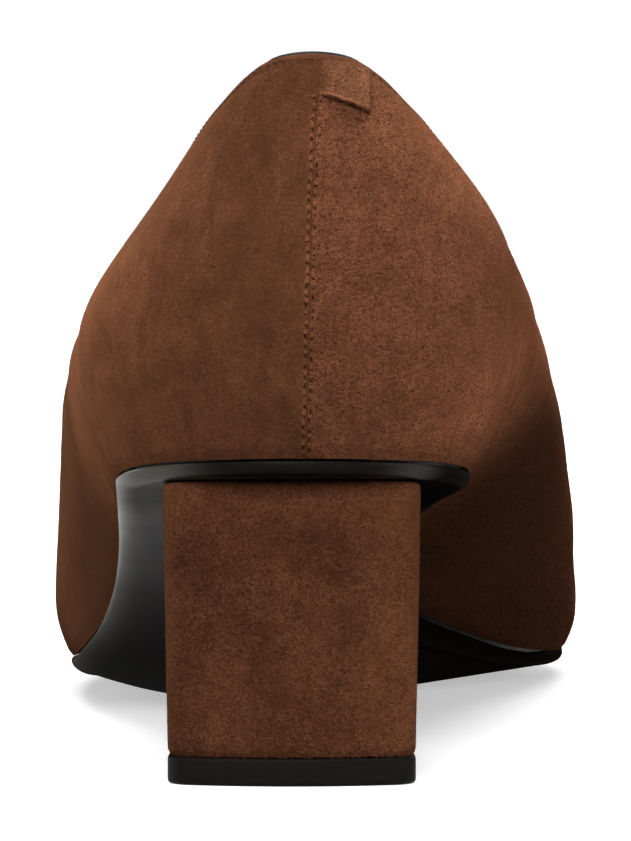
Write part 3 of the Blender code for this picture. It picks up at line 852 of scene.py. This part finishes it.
class PumpColours(bpy.types.PropertyGroup):
    outer_suede: bpy.props.FloatVectorProperty(
        name="Outer suede", description="Suede of the outer quarter, brushed smooth", subtype="COLOR",
        default=(0.0895, 0.0336, 0.0155))
    inner_suede: bpy.props.FloatVectorProperty(
        name="Inner suede", description="Suede of the inner quarter, raised nap", subtype="COLOR",
        default=(0.112, 0.0399, 0.0195))
    heel_suede: bpy.props.FloatVectorProperty(
        name="Heel suede", description="Suede over the heel block", subtype="COLOR",
        default=(0.0790, 0.0282, 0.0129))
    # A lighter copy of the quarters' suede: painted light for the tab, which faces up.
    tab_suede: bpy.props.FloatVectorProperty(
        name="Tab suede", description="Suede of the back tab", subtype="COLOR",
        default=(0.148, 0.0610, 0.0300))
    lining: bpy.props.FloatVectorProperty(
        name="Lining", description="Lining leather and insole", subtype="COLOR",
        default=(0.0144, 0.0123, 0.0116))
    sole: bpy.props.FloatVectorProperty(
        name="Sole", description="Outsole", subtype="COLOR", default=(0.0085, 0.0070, 0.0058))
    rubber: bpy.props.FloatVectorProperty(
        name="Heel tip", description="Rubber of the heel tip", subtype="COLOR",
        default=(0.0068, 0.0060, 0.0052))
    thread: bpy.props.FloatVectorProperty(
        name="Thread", description="Sewing thread", subtype="COLOR", default=(0.19, 0.085, 0.046))


class PumpStage(bpy.types.PropertyGroup):
    camera_distance: bpy.props.FloatProperty(
        name="Camera distance", description="From the camera to the back of the heel", default=1.5,
        unit="LENGTH")
    camera_height: bpy.props.FloatProperty(
        name="Camera height", description="Height above the floor", default=0.154, unit="LENGTH")
    camera_offset: bpy.props.FloatProperty(
        name="Camera offset", description="Sideways from the heel's middle", default=0.0035, unit="LENGTH")
    camera_pitch: bpy.props.FloatProperty(
        name="Camera pitch", description="Angle below the horizon", default=math.radians(3.811),
        subtype="ANGLE")
    lens: bpy.props.FloatProperty(
        name="Lens", description="Focal length in millimetres on a 36 mm long side", default=439.8)
    floor_colour: bpy.props.FloatVectorProperty(
        name="Floor", description="Pale floor", subtype="COLOR", default=(0.86, 0.86, 0.86))


# The upper

def crease_share(crease, along, level, side):
    """1 on a crease's line and falling away from it, on its own side of the seam alone."""
    start = np.array((crease.start[0], crease.start[1] * COUNTER_HEIGHT))
    run = np.array((crease.end[0], crease.end[1] * COUNTER_HEIGHT)) - start
    from_start = np.stack([along, level * COUNTER_HEIGHT], axis=-1) - start
    share = np.clip(from_start @ run / (run @ run), 0.0, 1.0)
    gap = np.linalg.norm(from_start - share[..., None] * run, axis=-1)
    return hump(gap, crease.width) * (side * crease.side > 0)


def wall_lift(grid, side, level, seam_depth):
    """How far the suede stands off the last: seam groove, soft folds and a little unevenness."""
    below_tab = 1.0 - ramp(level, TAB_BOTTOM_RISE + 0.005, TAB_BOTTOM_RISE + 0.025)
    opened = 1.0 + 1.3 * ramp(level, 0.74, 0.88)
    groove = -0.3 * seam_depth * hump(side, 0.24) * opened
    ridges = 0.20 * hump(side + 0.75, 0.45) + 0.10 * hump(side - 0.6, 0.4)
    lift = (groove + ridges) * below_tab
    lift -= 0.30 * (1.0 - ramp(level, 0.0, 0.03))
    lift -= 0.12 * hump(level - 0.982, 0.007)
    for crease in CREASES:
        lift += crease.lift * crease_share(crease, grid[:, :, 1], level, side)
    return lift + 0.10 * lumps(grid, 24.0, 1.0) + 0.04 * lumps(grid, 7.0, 2.0)


def rough_panel(along, side, level):
    """0 on the outer quarter's brushed suede, 1 on the inner quarter's raised nap."""
    blend = mix(0.4, 7.0, ramp(level, TAB_BOTTOM_RISE, TAB_BOTTOM_RISE + 0.03))
    panel = ease((side + 0.1) / blend) * (1.0 - 0.4 * ramp(level, 0.9, 1.0))
    return mix(panel, 0.3, ramp(along, VAMP_START, VAMP_END))


# Painted light from a set of patches at each place on the wall.
def painted_light_sum(glows, along, level):
    return sum(glow.strength * hump(along - glow.along, glow.along_spread)
               * hump(level - glow.rise, glow.rise_spread) for glow in glows)


def painted_wall_shade(along, side, level):
    """Painted light and shade on the wall from place to place: lit patches, lit and shaded creases and
    painted shade forward along both sides.
    """
    shade = 1.0 + 0.10 * ramp(np.abs(side), 0.0, 9.0) * np.sign(side) * ramp(level, 0.6, 0.9)
    shade = shade + 0.10 * hump(side + 0.8, 0.5) * (1.0 - ramp(level, 0.8, 0.9))
    shade = shade + 0.22 * ramp(side, 14.0, 28.0) * (1.0 - ramp(along, 24.0, 38.0))
    outer_light = painted_light_sum(OUTER_PAINTED_LIGHTS, along, level)
    outer_light = outer_light - 0.38 * hump(along - 26.0, 15.0) * ramp(level, 0.58, 0.78)
    shade = shade + np.where(side > 0.0, painted_light_sum(INNER_PAINTED_LIGHTS, along, level), outer_light)
    # Outer-side creases get painted light along their raised lines and painted shade along their sunk ones.
    for crease in CREASES:
        if crease.side < 0:
            shade = shade + 2.2 * crease.lift * crease_share(crease, along, level, side)
    # Painted shade forward along the inner and the outer side, starting further forward higher up the wall.
    inner_start = mix(62.0, 108.0, ramp(level, 0.35, 0.90))
    inner_painted_shade = 0.56 * ramp(along, inner_start, inner_start + 30.0)
    outer_start = mix(44.0, 70.0, ramp(level, 0.0, 0.45))
    outer_painted_shade = 0.40 * ramp(along, outer_start, outer_start + 22.0) * (1.0 - 0.8 * ramp(level, 0.65, 0.90))
    toe = ramp(along, VAMP_START, VAMP_END)
    return shade * (1.0 - mix(np.where(side > 0.0, inner_painted_shade, outer_painted_shade), 0.35, toe))


class PUMP_OT_upper(bpy.types.Operator):
    """Builds the suede shell with its back seam groove, soft creases and nap"""
    bl_idname = "pump.upper"
    bl_label = "Suede upper"

    def execute(self, context):
        sizes = context.scene.pump_sizes
        colours = context.scene.pump_colours
        rises = np.concatenate([np.linspace(0.0, 0.06, 5), np.linspace(0.08, 0.94, 50),
                                np.linspace(0.955, 1.0, 6)])
        grid, side = wall_grid(rises, SUEDE_COLUMNS)
        normals = grid_normals(grid)
        level = np.repeat(rises[:, None], grid.shape[1], axis=1)
        outer = grid + normals * wall_lift(grid, side, level, sizes.seam_depth / MM)[:, :, None]
        thick = sizes.suede_thickness / MM
        turned_edge = [outer[-1] - normals[-1] * thick * share + (0.0, 0.0, 0.12) for share in (0.22, 0.75)]
        inside = (grid - normals * thick)[::-1][::3]
        loops = np.concatenate([outer, turned_edge, inside])
        rows, columns = loops.shape[:2]
        extra = rows - len(outer)
        side = np.concatenate([side, np.repeat(side[-1:], extra, axis=0)])
        level = np.concatenate([level, np.ones((extra, columns))])
        along = loops[:, :, 1]
        panel = rough_panel(along, side, level)
        hairs, cell = nap_hairs(outer, UPPER_NAP, 0.12 + 0.6 * panel[:len(outer) - 1])
        points, faces = with_hairs(loops.reshape(-1, 3), wrapped_faces(rows, columns), hairs)
        material = suede_material("upper_suede", tuple(colours.outer_suede), tuple(colours.inner_suede),
                                  panel="inner_panel", shade="painted_wall_shade", seam_pitch=sizes.seam_pitch / MM)
        piece = new_piece("upper_suede", points, faces, [material], ("upper",), 60.0)

        steps = np.linalg.norm(np.diff(grid[:, columns // 2], axis=0), axis=1)
        walk = np.concatenate([[0.0], np.cumsum(steps)])
        climbed = np.concatenate([walk, np.full(extra, walk[-1])])
        seam_height = np.repeat(climbed[:, None], columns, axis=1)
        under_tab = np.where(side < 0.0, -CLEAR_OF_SEAM, CLEAR_OF_SEAM)
        seam_offset = np.where(level < TAB_BOTTOM_RISE + 0.034, side, under_tab)
        # The wall's painted light and shade goes on with the nap panel and the seam's places, copied to each
        # hair.
        for name, values in (("inner_panel", panel), ("painted_wall_shade", painted_wall_shade(along, side, level)),
                             ("seam_height", seam_height), ("seam_offset", seam_offset)):
            flat = values.ravel()
            roots = flat[cell]
            if name == "seam_offset":
                roots = np.where(np.abs(roots) < 1.0, CLEAR_OF_SEAM, roots)
            add_number(piece, name, np.concatenate([flat, np.repeat(roots, 3)]))
        strength = 0.35 + 0.65 * panel.ravel()[cell]
        add_nap_tips(piece, UPPER_NAP, loops.size // 3, len(cell), strength)
        return {"FINISHED"}


class PUMP_OT_lining(bpy.types.Operator):
    """Builds the black lining that shows as a thin edge round the topline"""
    bl_idname = "pump.lining"
    bl_label = "Lining"

    def execute(self, context):
        sizes = context.scene.pump_sizes
        colours = context.scene.pump_colours
        grid, _ = wall_grid(np.linspace(0.0, 1.0, 30), LINING_COLUMNS)
        normals = grid_normals(grid)
        near = sizes.suede_thickness / MM + 0.04
        outer = grid - normals * near
        inner = grid - normals * (near + sizes.lining_thickness / MM)
        along = grid[-1, :, 1]
        sloping = ramp(along, 4.0, 18.0) * (1.0 - ramp(along, 110.0, 140.0))
        outer[-1, :, 2] += 0.60 + 0.40 * sloping
        inner[-1, :, 2] += 0.50 + 0.40 * sloping
        loops = np.concatenate([outer, inner[::-1]])
        material = smooth_leather_material("lining_leather", tuple(colours.lining), 0.5, 0.9, 0.05)
        new_piece("lining", loops.reshape(-1, 3), wrapped_faces(*loops.shape[:2]), [material],
                  ("upper",), 60.0)
        return {"FINISHED"}


def surface_at(rise, offsets):
    """Points and outward normals of the wall at given distances round from the back seam."""
    def wall_points(level, shift=0.0):
        turns, known = columns_from_seam(level, SUEDE_COLUMNS)
        return last_points(np.interp(offsets + shift, known, turns), level)

    points = wall_points(rise)
    up = wall_points(min(rise + 0.004, 1.0)) - wall_points(rise - 0.004)
    normals = np.cross(wall_points(rise, 0.3) - points, up)
    return points, normals / np.linalg.norm(normals, axis=1, keepdims=True)


class PUMP_OT_edge_stitches(bpy.types.Operator):
    """Sews the row of fine stitches just below the topline"""
    bl_idname = "pump.edge_stitches"
    bl_label = "Topline stitches"

    def execute(self, context):
        sizes = context.scene.pump_sizes
        colours = context.scene.pump_colours
        back_height = TOPLINE.rows[0].outer_z - FEATHER.rows[0].outer_z
        rise = 1.0 - sizes.edge_inset / MM / back_height
        _, known = columns_from_seam(rise, SUEDE_COLUMNS)
        pitch = sizes.edge_pitch / MM
        starts = np.arange(known[0] + pitch, known[-1] - pitch, pitch)
        points, normals = surface_at(rise, starts)
        ends, _ = surface_at(rise, starts + pitch * 0.68)
        sunk = normals * 0.06
        threads = list(zip(points - sunk, ends - sunk, normals))
        mesh_points, faces = thread_mesh(threads, sizes.thread_radius / MM * 0.8)
        material = thread_material("edge_thread", tuple(0.6 * channel for channel in colours.thread))
        new_piece("topline_thread", mesh_points, faces, [material])
        return {"FINISHED"}


def tab_grid(rows, columns):
    """Points of the wall under the tab, row by row from its slanted lower edge."""
    fine = np.linspace(0.0, 0.2, 400)
    grid = np.empty((rows, columns, 3))
    for column, u in enumerate(np.linspace(0.0, 1.0, columns)):
        bottom = TAB_BOTTOM_RISE + mix(0.022, -0.012, u)
        x = mix(TAB_LEFT_X, TAB_RIGHT_X + 0.1, u)
        for row, v in enumerate(np.linspace(0.0, 1.0, rows)):
            rise = mix(bottom, TAB_TOP_RISE, v)
            curve = last_points(fine, rise)
            grid[row, column] = last_points(np.interp(x, curve[:, 0], fine)[None], rise)[0]
    return grid


class PUMP_OT_tab(bpy.types.Operator):
    """Builds the suede tab that laps over the top of the back seam"""
    bl_idname = "pump.tab"
    bl_label = "Back tab"

    def execute(self, context):
        colours = context.scene.pump_colours
        rows, columns = 34, 40
        grid = tab_grid(rows, columns)
        normals = np.cross(np.gradient(grid, axis=1), np.gradient(grid, axis=0))
        normals /= np.linalg.norm(normals, axis=2, keepdims=True)
        v = np.linspace(0.0, 1.0, rows)[:, None]
        u = np.linspace(0.0, 1.0, columns)[None, :]
        from_edge = np.minimum(v * TAB_HEIGHT, (1.0 - u) * TAB_WIDTH)
        roll = np.sqrt(np.clip(1.0 - (1.0 - np.clip(from_edge / 0.4, 0.0, 1.0)) ** 2, 0.0, 1.0))
        lip = hump(from_edge - 0.6, 0.55)
        swell = roll * (0.30 + 0.80 * lip) * (1.0 - 0.8 * ramp(v, 0.55, 0.90))
        swell = swell * ramp(u, 0.0, 0.22) - 0.35 * (1.0 - ramp(u, 0.0, 0.16))
        top = grid + normals * (0.22 + swell + 0.04 * lumps(grid, 2.5, 5.0))[:, :, None]
        low = grid - normals * 0.25
        hairs, cell = nap_hairs(top[:, :-1], TAB_NAP, np.full((rows - 1, columns - 1), 0.5))
        points = np.concatenate([low.reshape(-1, 3), top.reshape(-1, 3)])
        skin = len(points)
        points, faces = with_hairs(points, plate_faces(rows - 1, columns - 1), hairs)
        material = suede_material("tab_suede_nap", tuple(colours.outer_suede), tuple(colours.tab_suede),
                                  panel="tab_painted_light", nap=0.9)
        piece = new_piece("tab_suede", points, faces, [material], ("back_tab",), 50.0)
        # Painted light: lighter towards the tab's right and top, where it faces up, and a painted highlight
        # along its rolled lip.
        light = (ramp(u, 0.0, 0.5) * (0.8 + 0.2 * ramp(v, 0.0, 0.5)) + 0.35 * lip).ravel()
        add_number(piece, "tab_painted_light", np.concatenate([light, light, np.full(len(hairs), 0.7)]))
        add_nap_tips(piece, TAB_NAP, skin, len(cell))
        return {"FINISHED"}


# The sole

def sole_grid(inset, height, stations, strips):
    """Cross sections of a sole skin from heel to toe, as a grid of points."""
    turns = np.linspace(0.0, 1.0, stations)[1:-1]
    share = (1.0 - np.cos(math.pi * turns)) / 2.0
    along = mix(FEATHER.back + inset, FEATHER.front - inset, share[:, None])
    across = np.sin(np.linspace(-0.5, 0.5, strips + 1) * math.pi * 0.94) / math.sin(0.47 * math.pi)
    share_across = (across[None, :] + 1.0) / 2.0
    x = mix(ring_x(FEATHER, -1, along, inset), ring_x(FEATHER, 1, along, inset), share_across)
    along = np.broadcast_to(along, x.shape)
    return np.stack([x, along, height(x, along)], axis=-1)


def rim_order(stations, across):
    """Rim of a grid of cross sections with a point at each end: outer side, toe, inner side, heel."""
    strips = across - 1
    rim = [station * across for station in range(stations)]
    rim += [stations * across + 1]
    rim += [station * across + strips for station in range(stations - 1, -1, -1)]
    rim += [stations * across]
    return rim


def skin_with_ends(skin, back, front):
    """A grid of cross sections as points, with a point added at the heel and one at the toe."""
    points = [tuple(point) for point in skin.reshape(-1, 3)]
    points.append((FEATHER.back_x, back, float(skin[0, :, 2].mean())))
    points.append((FEATHER.front_x, front, float(skin[-1, :, 2].mean())))
    return points


def skin_faces(stations, across, base, flip):
    strips = across - 1
    heel = base + stations * across
    quads = []
    for station in range(stations - 1):
        for strip in range(strips):
            corner = base + station * across + strip
            quads.append((corner, corner + 1, corner + 1 + across, corner + across))
    for strip in range(strips):
        last = base + (stations - 1) * across + strip
        quads.append((heel, base + strip + 1, base + strip))
        quads.append((last, last + 1, heel + 1))
    return [tuple(reversed(face)) if flip else face for face in quads]


def sole_skins(lower, upper, inset, rim_loops=()):
    """Points and faces of a closed sole from its two skins and any loops of edge between their rims."""
    stations, across = lower.shape[:2]
    points = skin_with_ends(lower, FEATHER.back + inset[0], FEATHER.front - inset[0])
    layer = len(points)
    points += skin_with_ends(upper, FEATHER.back + inset[1], FEATHER.front - inset[1])
    faces = skin_faces(stations, across, 0, True) + skin_faces(stations, across, layer, False)
    rim = rim_order(stations, across)
    bands = [rim]
    for loop in rim_loops:
        start = len(points)
        points += [tuple(point) for point in loop]
        bands.append(list(range(start, start + len(loop))))
    bands.append([layer + k for k in rim])
    for near, far in zip(bands[:-1], bands[1:]):
        for k in range(len(rim)):
            following = (k + 1) % len(rim)
            faces.append((near[k], near[following], far[following], far[k]))
    return points, faces


def sole_polish_and_painted_sheen(points):
    """Coat weight and painted sheen of the sole: a painted reflection of the pale floor, strongest at the
    outer side of the seat and high up, fading down the waist, with a darker painted reflection of the heel
    block in a band near the seat, and fading to painted shade on the inner side and the seat's back strip.
    """
    x, along, z = np.asarray(points, float).T
    outer_edge = ramp(x, -23.0, -31.0)
    # A darker band: the heel block's painted reflection.
    painted_heel_reflection = ramp(z, 44.2, 42.8) * ramp(z, 36.0, 41.0)
    # Painted shade on the inner side and on the back strip of the seat.
    inner_side = ramp(x, -8.0, 6.0) * ramp(along, 4.0, 12.0)
    seat_strip = ramp(along, 8.0, 2.0) * ramp(x, -25.0, -13.0)
    polish_and_painted_sheen = 0.05 + 0.95 * ramp(z, 9.0, 43.0) * (0.35 + 0.65 * outer_edge)
    return polish_and_painted_sheen * (1.0 - 0.34 * painted_heel_reflection) * (1.0 - 0.97 * inner_side) * (1.0 - 0.84 * seat_strip)


class PUMP_OT_outsole(bpy.types.Operator):
    """Builds the thin polished black sole with softened edges"""
    bl_idname = "pump.outsole"
    bl_label = "Outsole"

    def execute(self, context):
        colours = context.scene.pump_colours
        turns = np.linspace(0.0, 1.0, SOLE_STATIONS)[1:-1]
        rim_turns = np.concatenate([-turns, [1.0], turns[::-1], [0.0]])
        rim = ring_points(FEATHER, rim_turns)
        widths = table_values(RIM_WIDTHS, "width", rim[:, 1])
        station_widths = table_values(RIM_WIDTHS, "width", ring_points(FEATHER, turns)[:, 1])[:, None]
        lower = sole_grid(station_widths, sole_bottom, SOLE_STATIONS, SOLE_STRIPS)
        upper = sole_grid(SOLE_TOP_INSET, sole_top, SOLE_STATIONS, SOLE_STRIPS)
        top_z = sole_top(rim[:, 0], rim[:, 1])
        inside = ring_points(FEATHER, rim_turns, widths)
        low_z = sole_bottom(inside[:, 0], inside[:, 1])
        loops = []
        for degrees in range(80, -10, -10):
            angle = math.radians(degrees)
            loop = ring_points(FEATHER, rim_turns, widths * (1.0 - math.cos(angle)))
            loop[:, 2] = top_z - 0.25 - (top_z - 0.25 - low_z) * math.sin(angle)
            loops.append(loop)
        lip = ring_points(FEATHER, rim_turns, 0.12)
        lip[:, 2] = top_z - 0.06
        loops.append(lip)
        points, faces = sole_skins(lower, upper, (RIM_WIDTHS[0].width, SOLE_TOP_INSET), loops)
        material = polished_sole_material("polished_sole", tuple(colours.sole))
        piece = new_piece("sole", points, faces, [material], ("outsole",), 50.0)
        # Coat weight with painted sheen, reflection and shade for the sole.
        add_number(piece, "polish_and_painted_sheen", sole_polish_and_painted_sheen(points))
        return {"FINISHED"}


class PUMP_OT_insole(bpy.types.Operator):
    """Builds the leather sock inside the shoe"""
    bl_idname = "pump.insole"
    bl_label = "Insole"

    def execute(self, context):
        colours = context.scene.pump_colours

        def under(x, along):
            return sole_top(x, along) + GAP

        def over(x, along):
            aside = np.abs(2.0 * sole_share(x, along) - 1.0)
            return sole_top(x, along) + GAP + INSOLE_THICKNESS - 0.35 * ramp(aside, 0.78, 0.98)

        lower, upper = (sole_grid(INSOLE_INSET, height, INSOLE_STATIONS, INSOLE_STRIPS)
                        for height in (under, over))
        points, faces = sole_skins(lower, upper, (INSOLE_INSET, INSOLE_INSET))
        colour = tuple(1.3 * channel for channel in colours.lining)
        material = smooth_leather_material("sock_leather", colour, 0.45, 1.1, 0.06)
        new_piece("sock", points, faces, [material], ("insole",), 50.0)
        return {"FINISHED"}


# The heel

def footprint_loop(foot, shrink=0.0):
    """Outline of the heel: a bowed back, straight sides that close in forward, rounded corners."""
    back = foot.back + BLOCK_BOW + shrink
    front = foot.front - shrink
    half_back = foot.width / 2.0 - shrink
    half_front = foot.front_width / 2.0 - shrink
    r = BLOCK_CORNER
    corners = (
        (-half_back + r, back + r, 180.0), (half_back - r, back + r, 270.0),
        (half_front - r, front - r, 0.0), (-half_front + r, front - r, 90.0))
    loop = []
    for index, (x, along, start) in enumerate(corners):
        for k in range(CORNER_STEPS + 1):
            angle = math.radians(start + 90.0 * k / CORNER_STEPS)
            loop.append((x + r * math.cos(angle), along + r * math.sin(angle)))
        x, along, start = corners[(index + 1) % 4]
        angle = math.radians(start)
        target = (x + r * math.cos(angle), along + r * math.sin(angle))
        for left in range(SIDE_STEPS, 1, -1):
            loop.append(tuple(mix(here, there, 1.0 / left) for here, there in zip(loop[-1], target)))
    loop = np.array(loop)
    share = np.clip((back + r - loop[:, 1]) / r, 0.0, 1.0)
    loop[:, 1] -= share * BLOCK_BOW * (1.0 - (loop[:, 0] / half_back) ** 2)
    return loop


def stack_mesh(loops):
    """Points and faces of a closed stack of loops with a fan at each end."""
    rows = len(loops)
    width = len(loops[0])
    points = [tuple(point) for loop in loops for point in loop]
    points.append(tuple(np.mean(loops[0], axis=0)))
    points.append(tuple(np.mean(loops[-1], axis=0)))
    faces = wrapped_faces(rows, width, closed_rows=False)
    low = rows * width
    for k in range(width):
        right = (k + 1) % width
        faces.append((low, right, k))
        faces.append((low + 1, (rows - 1) * width + k, (rows - 1) * width + right))
    return points, faces


def block_levels():
    """Heights of the block's loops as shares, close together at its two edges."""
    return np.concatenate([[0.0, 0.006, 0.015, 0.03], np.linspace(0.06, 0.95, 26), [0.975, 0.99, 1.0]])


def block_loops(levels):
    """The block's walls from its foot to the sole, then its top face closing inward."""
    loops = []
    for share in levels:
        foot = Footprint(*(mix(a, b, share) for a, b in zip(BLOCK_BOTTOM, BLOCK_TOP)))
        tuck = 0.35 * float(1.0 - ease(share / 0.02)) + 0.25 * float(ease((share - 0.985) / 0.015))
        outline = footprint_loop(foot, tuck)
        top = sole_bottom(outline[:, 0], outline[:, 1]) - GAP
        loops.append(np.column_stack([outline, mix(TIP_HEIGHT + GAP, top, share)]))
    middle = np.array((0.0, (BLOCK_TOP.back + BLOCK_TOP.front) / 2.0))
    for share in (0.8, 0.6, 0.4, 0.2):
        outline = mix(middle, footprint_loop(BLOCK_TOP, 0.25), share)
        loops.append(np.column_stack([outline, sole_bottom(outline[:, 0], outline[:, 1]) - GAP]))
    return np.array(loops)


def painted_block_shade(x, z):
    """Painted light at the block's top and inner side, painted shade at its outer side and foot."""
    shade = 1.0 + 0.44 * ramp(z, 35.0, 44.0) - 0.16 * ramp(x, -4.0, -18.0)
    return shade + 0.34 * ramp(x, 6.0, 18.0) - 0.08 * ramp(z, 16.0, 4.0)


class PUMP_OT_heel_block(bpy.types.Operator):
    """Builds the block heel with its suede cover"""
    bl_idname = "pump.heel_block"
    bl_label = "Heel block"

    def execute(self, context):
        colours = context.scene.pump_colours
        levels = block_levels()
        grid = block_loops(levels)
        outward = grid - grid.mean(axis=1, keepdims=True)
        outward[:, :, 2] = 0.0
        outward /= np.maximum(np.linalg.norm(outward, axis=2, keepdims=True), 1e-9)
        ripple = 0.08 * lumps(grid, 14.0, 3.0) + 0.04 * lumps(grid, 4.0, 4.0)
        ripple[len(levels):] = 0.0
        grid = grid + outward * ripple[:, :, None]
        points, faces = stack_mesh(list(grid))
        solid = len(points)
        walls = grid[:len(levels)]
        width = walls.shape[1]
        hairs, cell = nap_hairs(walls, BLOCK_NAP, np.full((len(levels) - 1, width), 0.45))
        fringe, fringe_cell = nap_hairs(walls[:3], FRINGE_NAP, np.full((2, width), 0.2))
        hairs = np.concatenate([hairs, fringe])
        cell = np.concatenate([cell, fringe_cell])
        points, faces = with_hairs(points, faces, hairs)
        darker, lighter = (tuple(share * channel for channel in colours.heel_suede) for share in (0.9, 1.1))
        material = suede_material("heel_suede", darker, lighter, shade="painted_heel_shade", nap=1.15)
        piece = new_piece("heel_cover", points, faces, [material], ("heel_block",), 60.0)
        # Painted light and shade on the block, copied to each hair's points.
        shade = painted_block_shade(points[:solid, 0], points[:solid, 2])
        add_number(piece, "painted_heel_shade", np.concatenate([shade, np.repeat(shade[cell], 3)]))
        add_nap_tips(piece, BLOCK_NAP, solid, len(cell))
        return {"FINISHED"}


class PUMP_OT_heel_tip(bpy.types.Operator):
    """Builds the rubber top piece under the heel"""
    bl_idname = "pump.heel_tip"
    bl_label = "Heel tip"

    def execute(self, context):
        colours = context.scene.pump_colours
        foot = footprint_loop(BLOCK_BOTTOM, TIP_EDGE)
        outlines = [(mix(foot.mean(axis=0), foot, share), 0.0) for share in (0.35, 0.7)]
        for degrees in range(0, 105, 15):
            angle = math.radians(degrees)
            outlines.append((footprint_loop(BLOCK_BOTTOM, TIP_EDGE * (1.0 - math.sin(angle))),
                             TIP_EDGE * (1.0 - math.cos(angle))))
        for height, shrink in ((2.0, 0.0), (3.6, 0.0), (3.95, 0.06), (TIP_HEIGHT, 0.25)):
            outlines.append((footprint_loop(BLOCK_BOTTOM, shrink), height))
        loops = [np.column_stack([outline, np.full(len(outline), height)]) for outline, height in outlines]
        points, faces = stack_mesh(loops)
        material = rubber_material("tip_rubber_skin", tuple(colours.rubber))
        new_piece("tip_rubber", points, faces, [material], ("heel_tip",), 60.0)
        return {"FINISHED"}


# The stage

def add_lamp(lamp):
    """A rectangular soft light turned to the shoe."""
    light = bpy.data.lights.new(lamp.name, "AREA")
    light.shape = "RECTANGLE"
    light.size, light.size_y = lamp.size
    light.energy = lamp.power
    item = bpy.data.objects.new(lamp.name, light)
    item.location = lamp.place
    aim = Vector(LAMP_TARGET) - Vector(lamp.place)
    item.rotation_euler = aim.to_track_quat("-Z", "Y").to_euler()
    bpy.context.scene.collection.objects.link(item)


def add_floor(colour):
    corners = [(x * FLOOR_HALF, y * FLOOR_HALF, 0.0) for x, y in ((-1, -1), (1, -1), (1, 1), (-1, 1))]
    mesh = bpy.data.meshes.new("floor")
    mesh.from_pydata(corners, [], [(0, 1, 2, 3)])
    mesh.materials.append(floor_material("pale_floor", colour))
    floor = bpy.data.objects.new("floor", mesh)
    floor.visible_diffuse = False
    bpy.context.scene.collection.objects.link(floor)


def add_white_surroundings():
    """White behind the shoe that the camera sees and that lights nothing."""
    world = bpy.data.worlds.new("studio")
    bpy.context.scene.world = world
    world.use_nodes = True
    background = world.node_tree.nodes["Background"]
    background.inputs["Color"].default_value = WHITE
    background.inputs["Strength"].default_value = 1.0
    world.cycles_visibility.diffuse = False
    world.cycles_visibility.glossy = False


def add_camera(settings):
    """The photo's view, from straight behind the heel and a little above."""
    camera = bpy.data.cameras.new("photo_camera")
    camera.lens = settings.lens
    camera.sensor_width = 36.0
    camera.clip_end = 50.0
    item = bpy.data.objects.new("photo_camera", camera)
    heel_back = (BLOCK_TOP.back - TIP_CENTRE_ALONG) * MM
    item.location = (settings.camera_offset, heel_back - settings.camera_distance, settings.camera_height)
    item.rotation_euler = (math.radians(90.0) - settings.camera_pitch, 0.0, 0.0)
    bpy.context.scene.collection.objects.link(item)
    bpy.context.scene.camera = item


class PUMP_OT_stage(bpy.types.Operator):
    """Sets up the pale floor, the soft lights and the camera"""
    bl_idname = "pump.stage"
    bl_label = "Stage"

    def execute(self, context):
        settings = context.scene.pump_stage
        add_floor(tuple(settings.floor_colour))
        add_white_surroundings()
        for lamp in LAMPS:
            add_lamp(lamp)
        add_camera(settings)
        context.scene.view_settings.view_transform = "Standard"
        return {"FINISHED"}


class PUMP_PT_panel(bpy.types.Panel):
    """Lists the steps that build the pump"""
    bl_label = "Block heel pump"
    bl_idname = "PUMP_PT_panel"
    bl_space_type = "VIEW_3D"
    bl_region_type = "UI"
    bl_category = "Pump"

    def draw(self, context):
        for operator in OPERATORS:
            self.layout.operator(operator.bl_idname, text=operator.bl_label)
        for group in (context.scene.pump_sizes, context.scene.pump_colours, context.scene.pump_stage):
            for name in group.__annotations__:
                self.layout.prop(group, name)


OPERATORS = (
    PUMP_OT_upper, PUMP_OT_lining, PUMP_OT_edge_stitches, PUMP_OT_tab,
    PUMP_OT_outsole, PUMP_OT_insole, PUMP_OT_heel_block, PUMP_OT_heel_tip, PUMP_OT_stage,
)
CLASSES = (PumpSizes, PumpColours, PumpStage) + OPERATORS + (PUMP_PT_panel,)


def register():
    for cls in CLASSES:
        bpy.utils.register_class(cls)
    bpy.types.Scene.pump_sizes = bpy.props.PointerProperty(type=PumpSizes)
    bpy.types.Scene.pump_colours = bpy.props.PointerProperty(type=PumpColours)
    bpy.types.Scene.pump_stage = bpy.props.PointerProperty(type=PumpStage)


def unregister():
    del bpy.types.Scene.pump_stage
    del bpy.types.Scene.pump_colours
    del bpy.types.Scene.pump_sizes
    for cls in reversed(CLASSES):
        bpy.utils.unregister_class(cls)


def main():
    register()
    bpy.ops.pump.upper()
    bpy.ops.pump.lining()
    bpy.ops.pump.edge_stitches()
    bpy.ops.pump.tab()
    bpy.ops.pump.outsole()
    bpy.ops.pump.insole()
    bpy.ops.pump.heel_block()
    bpy.ops.pump.heel_tip()
    bpy.ops.pump.stage()


if __name__ == "__main__":
    main()
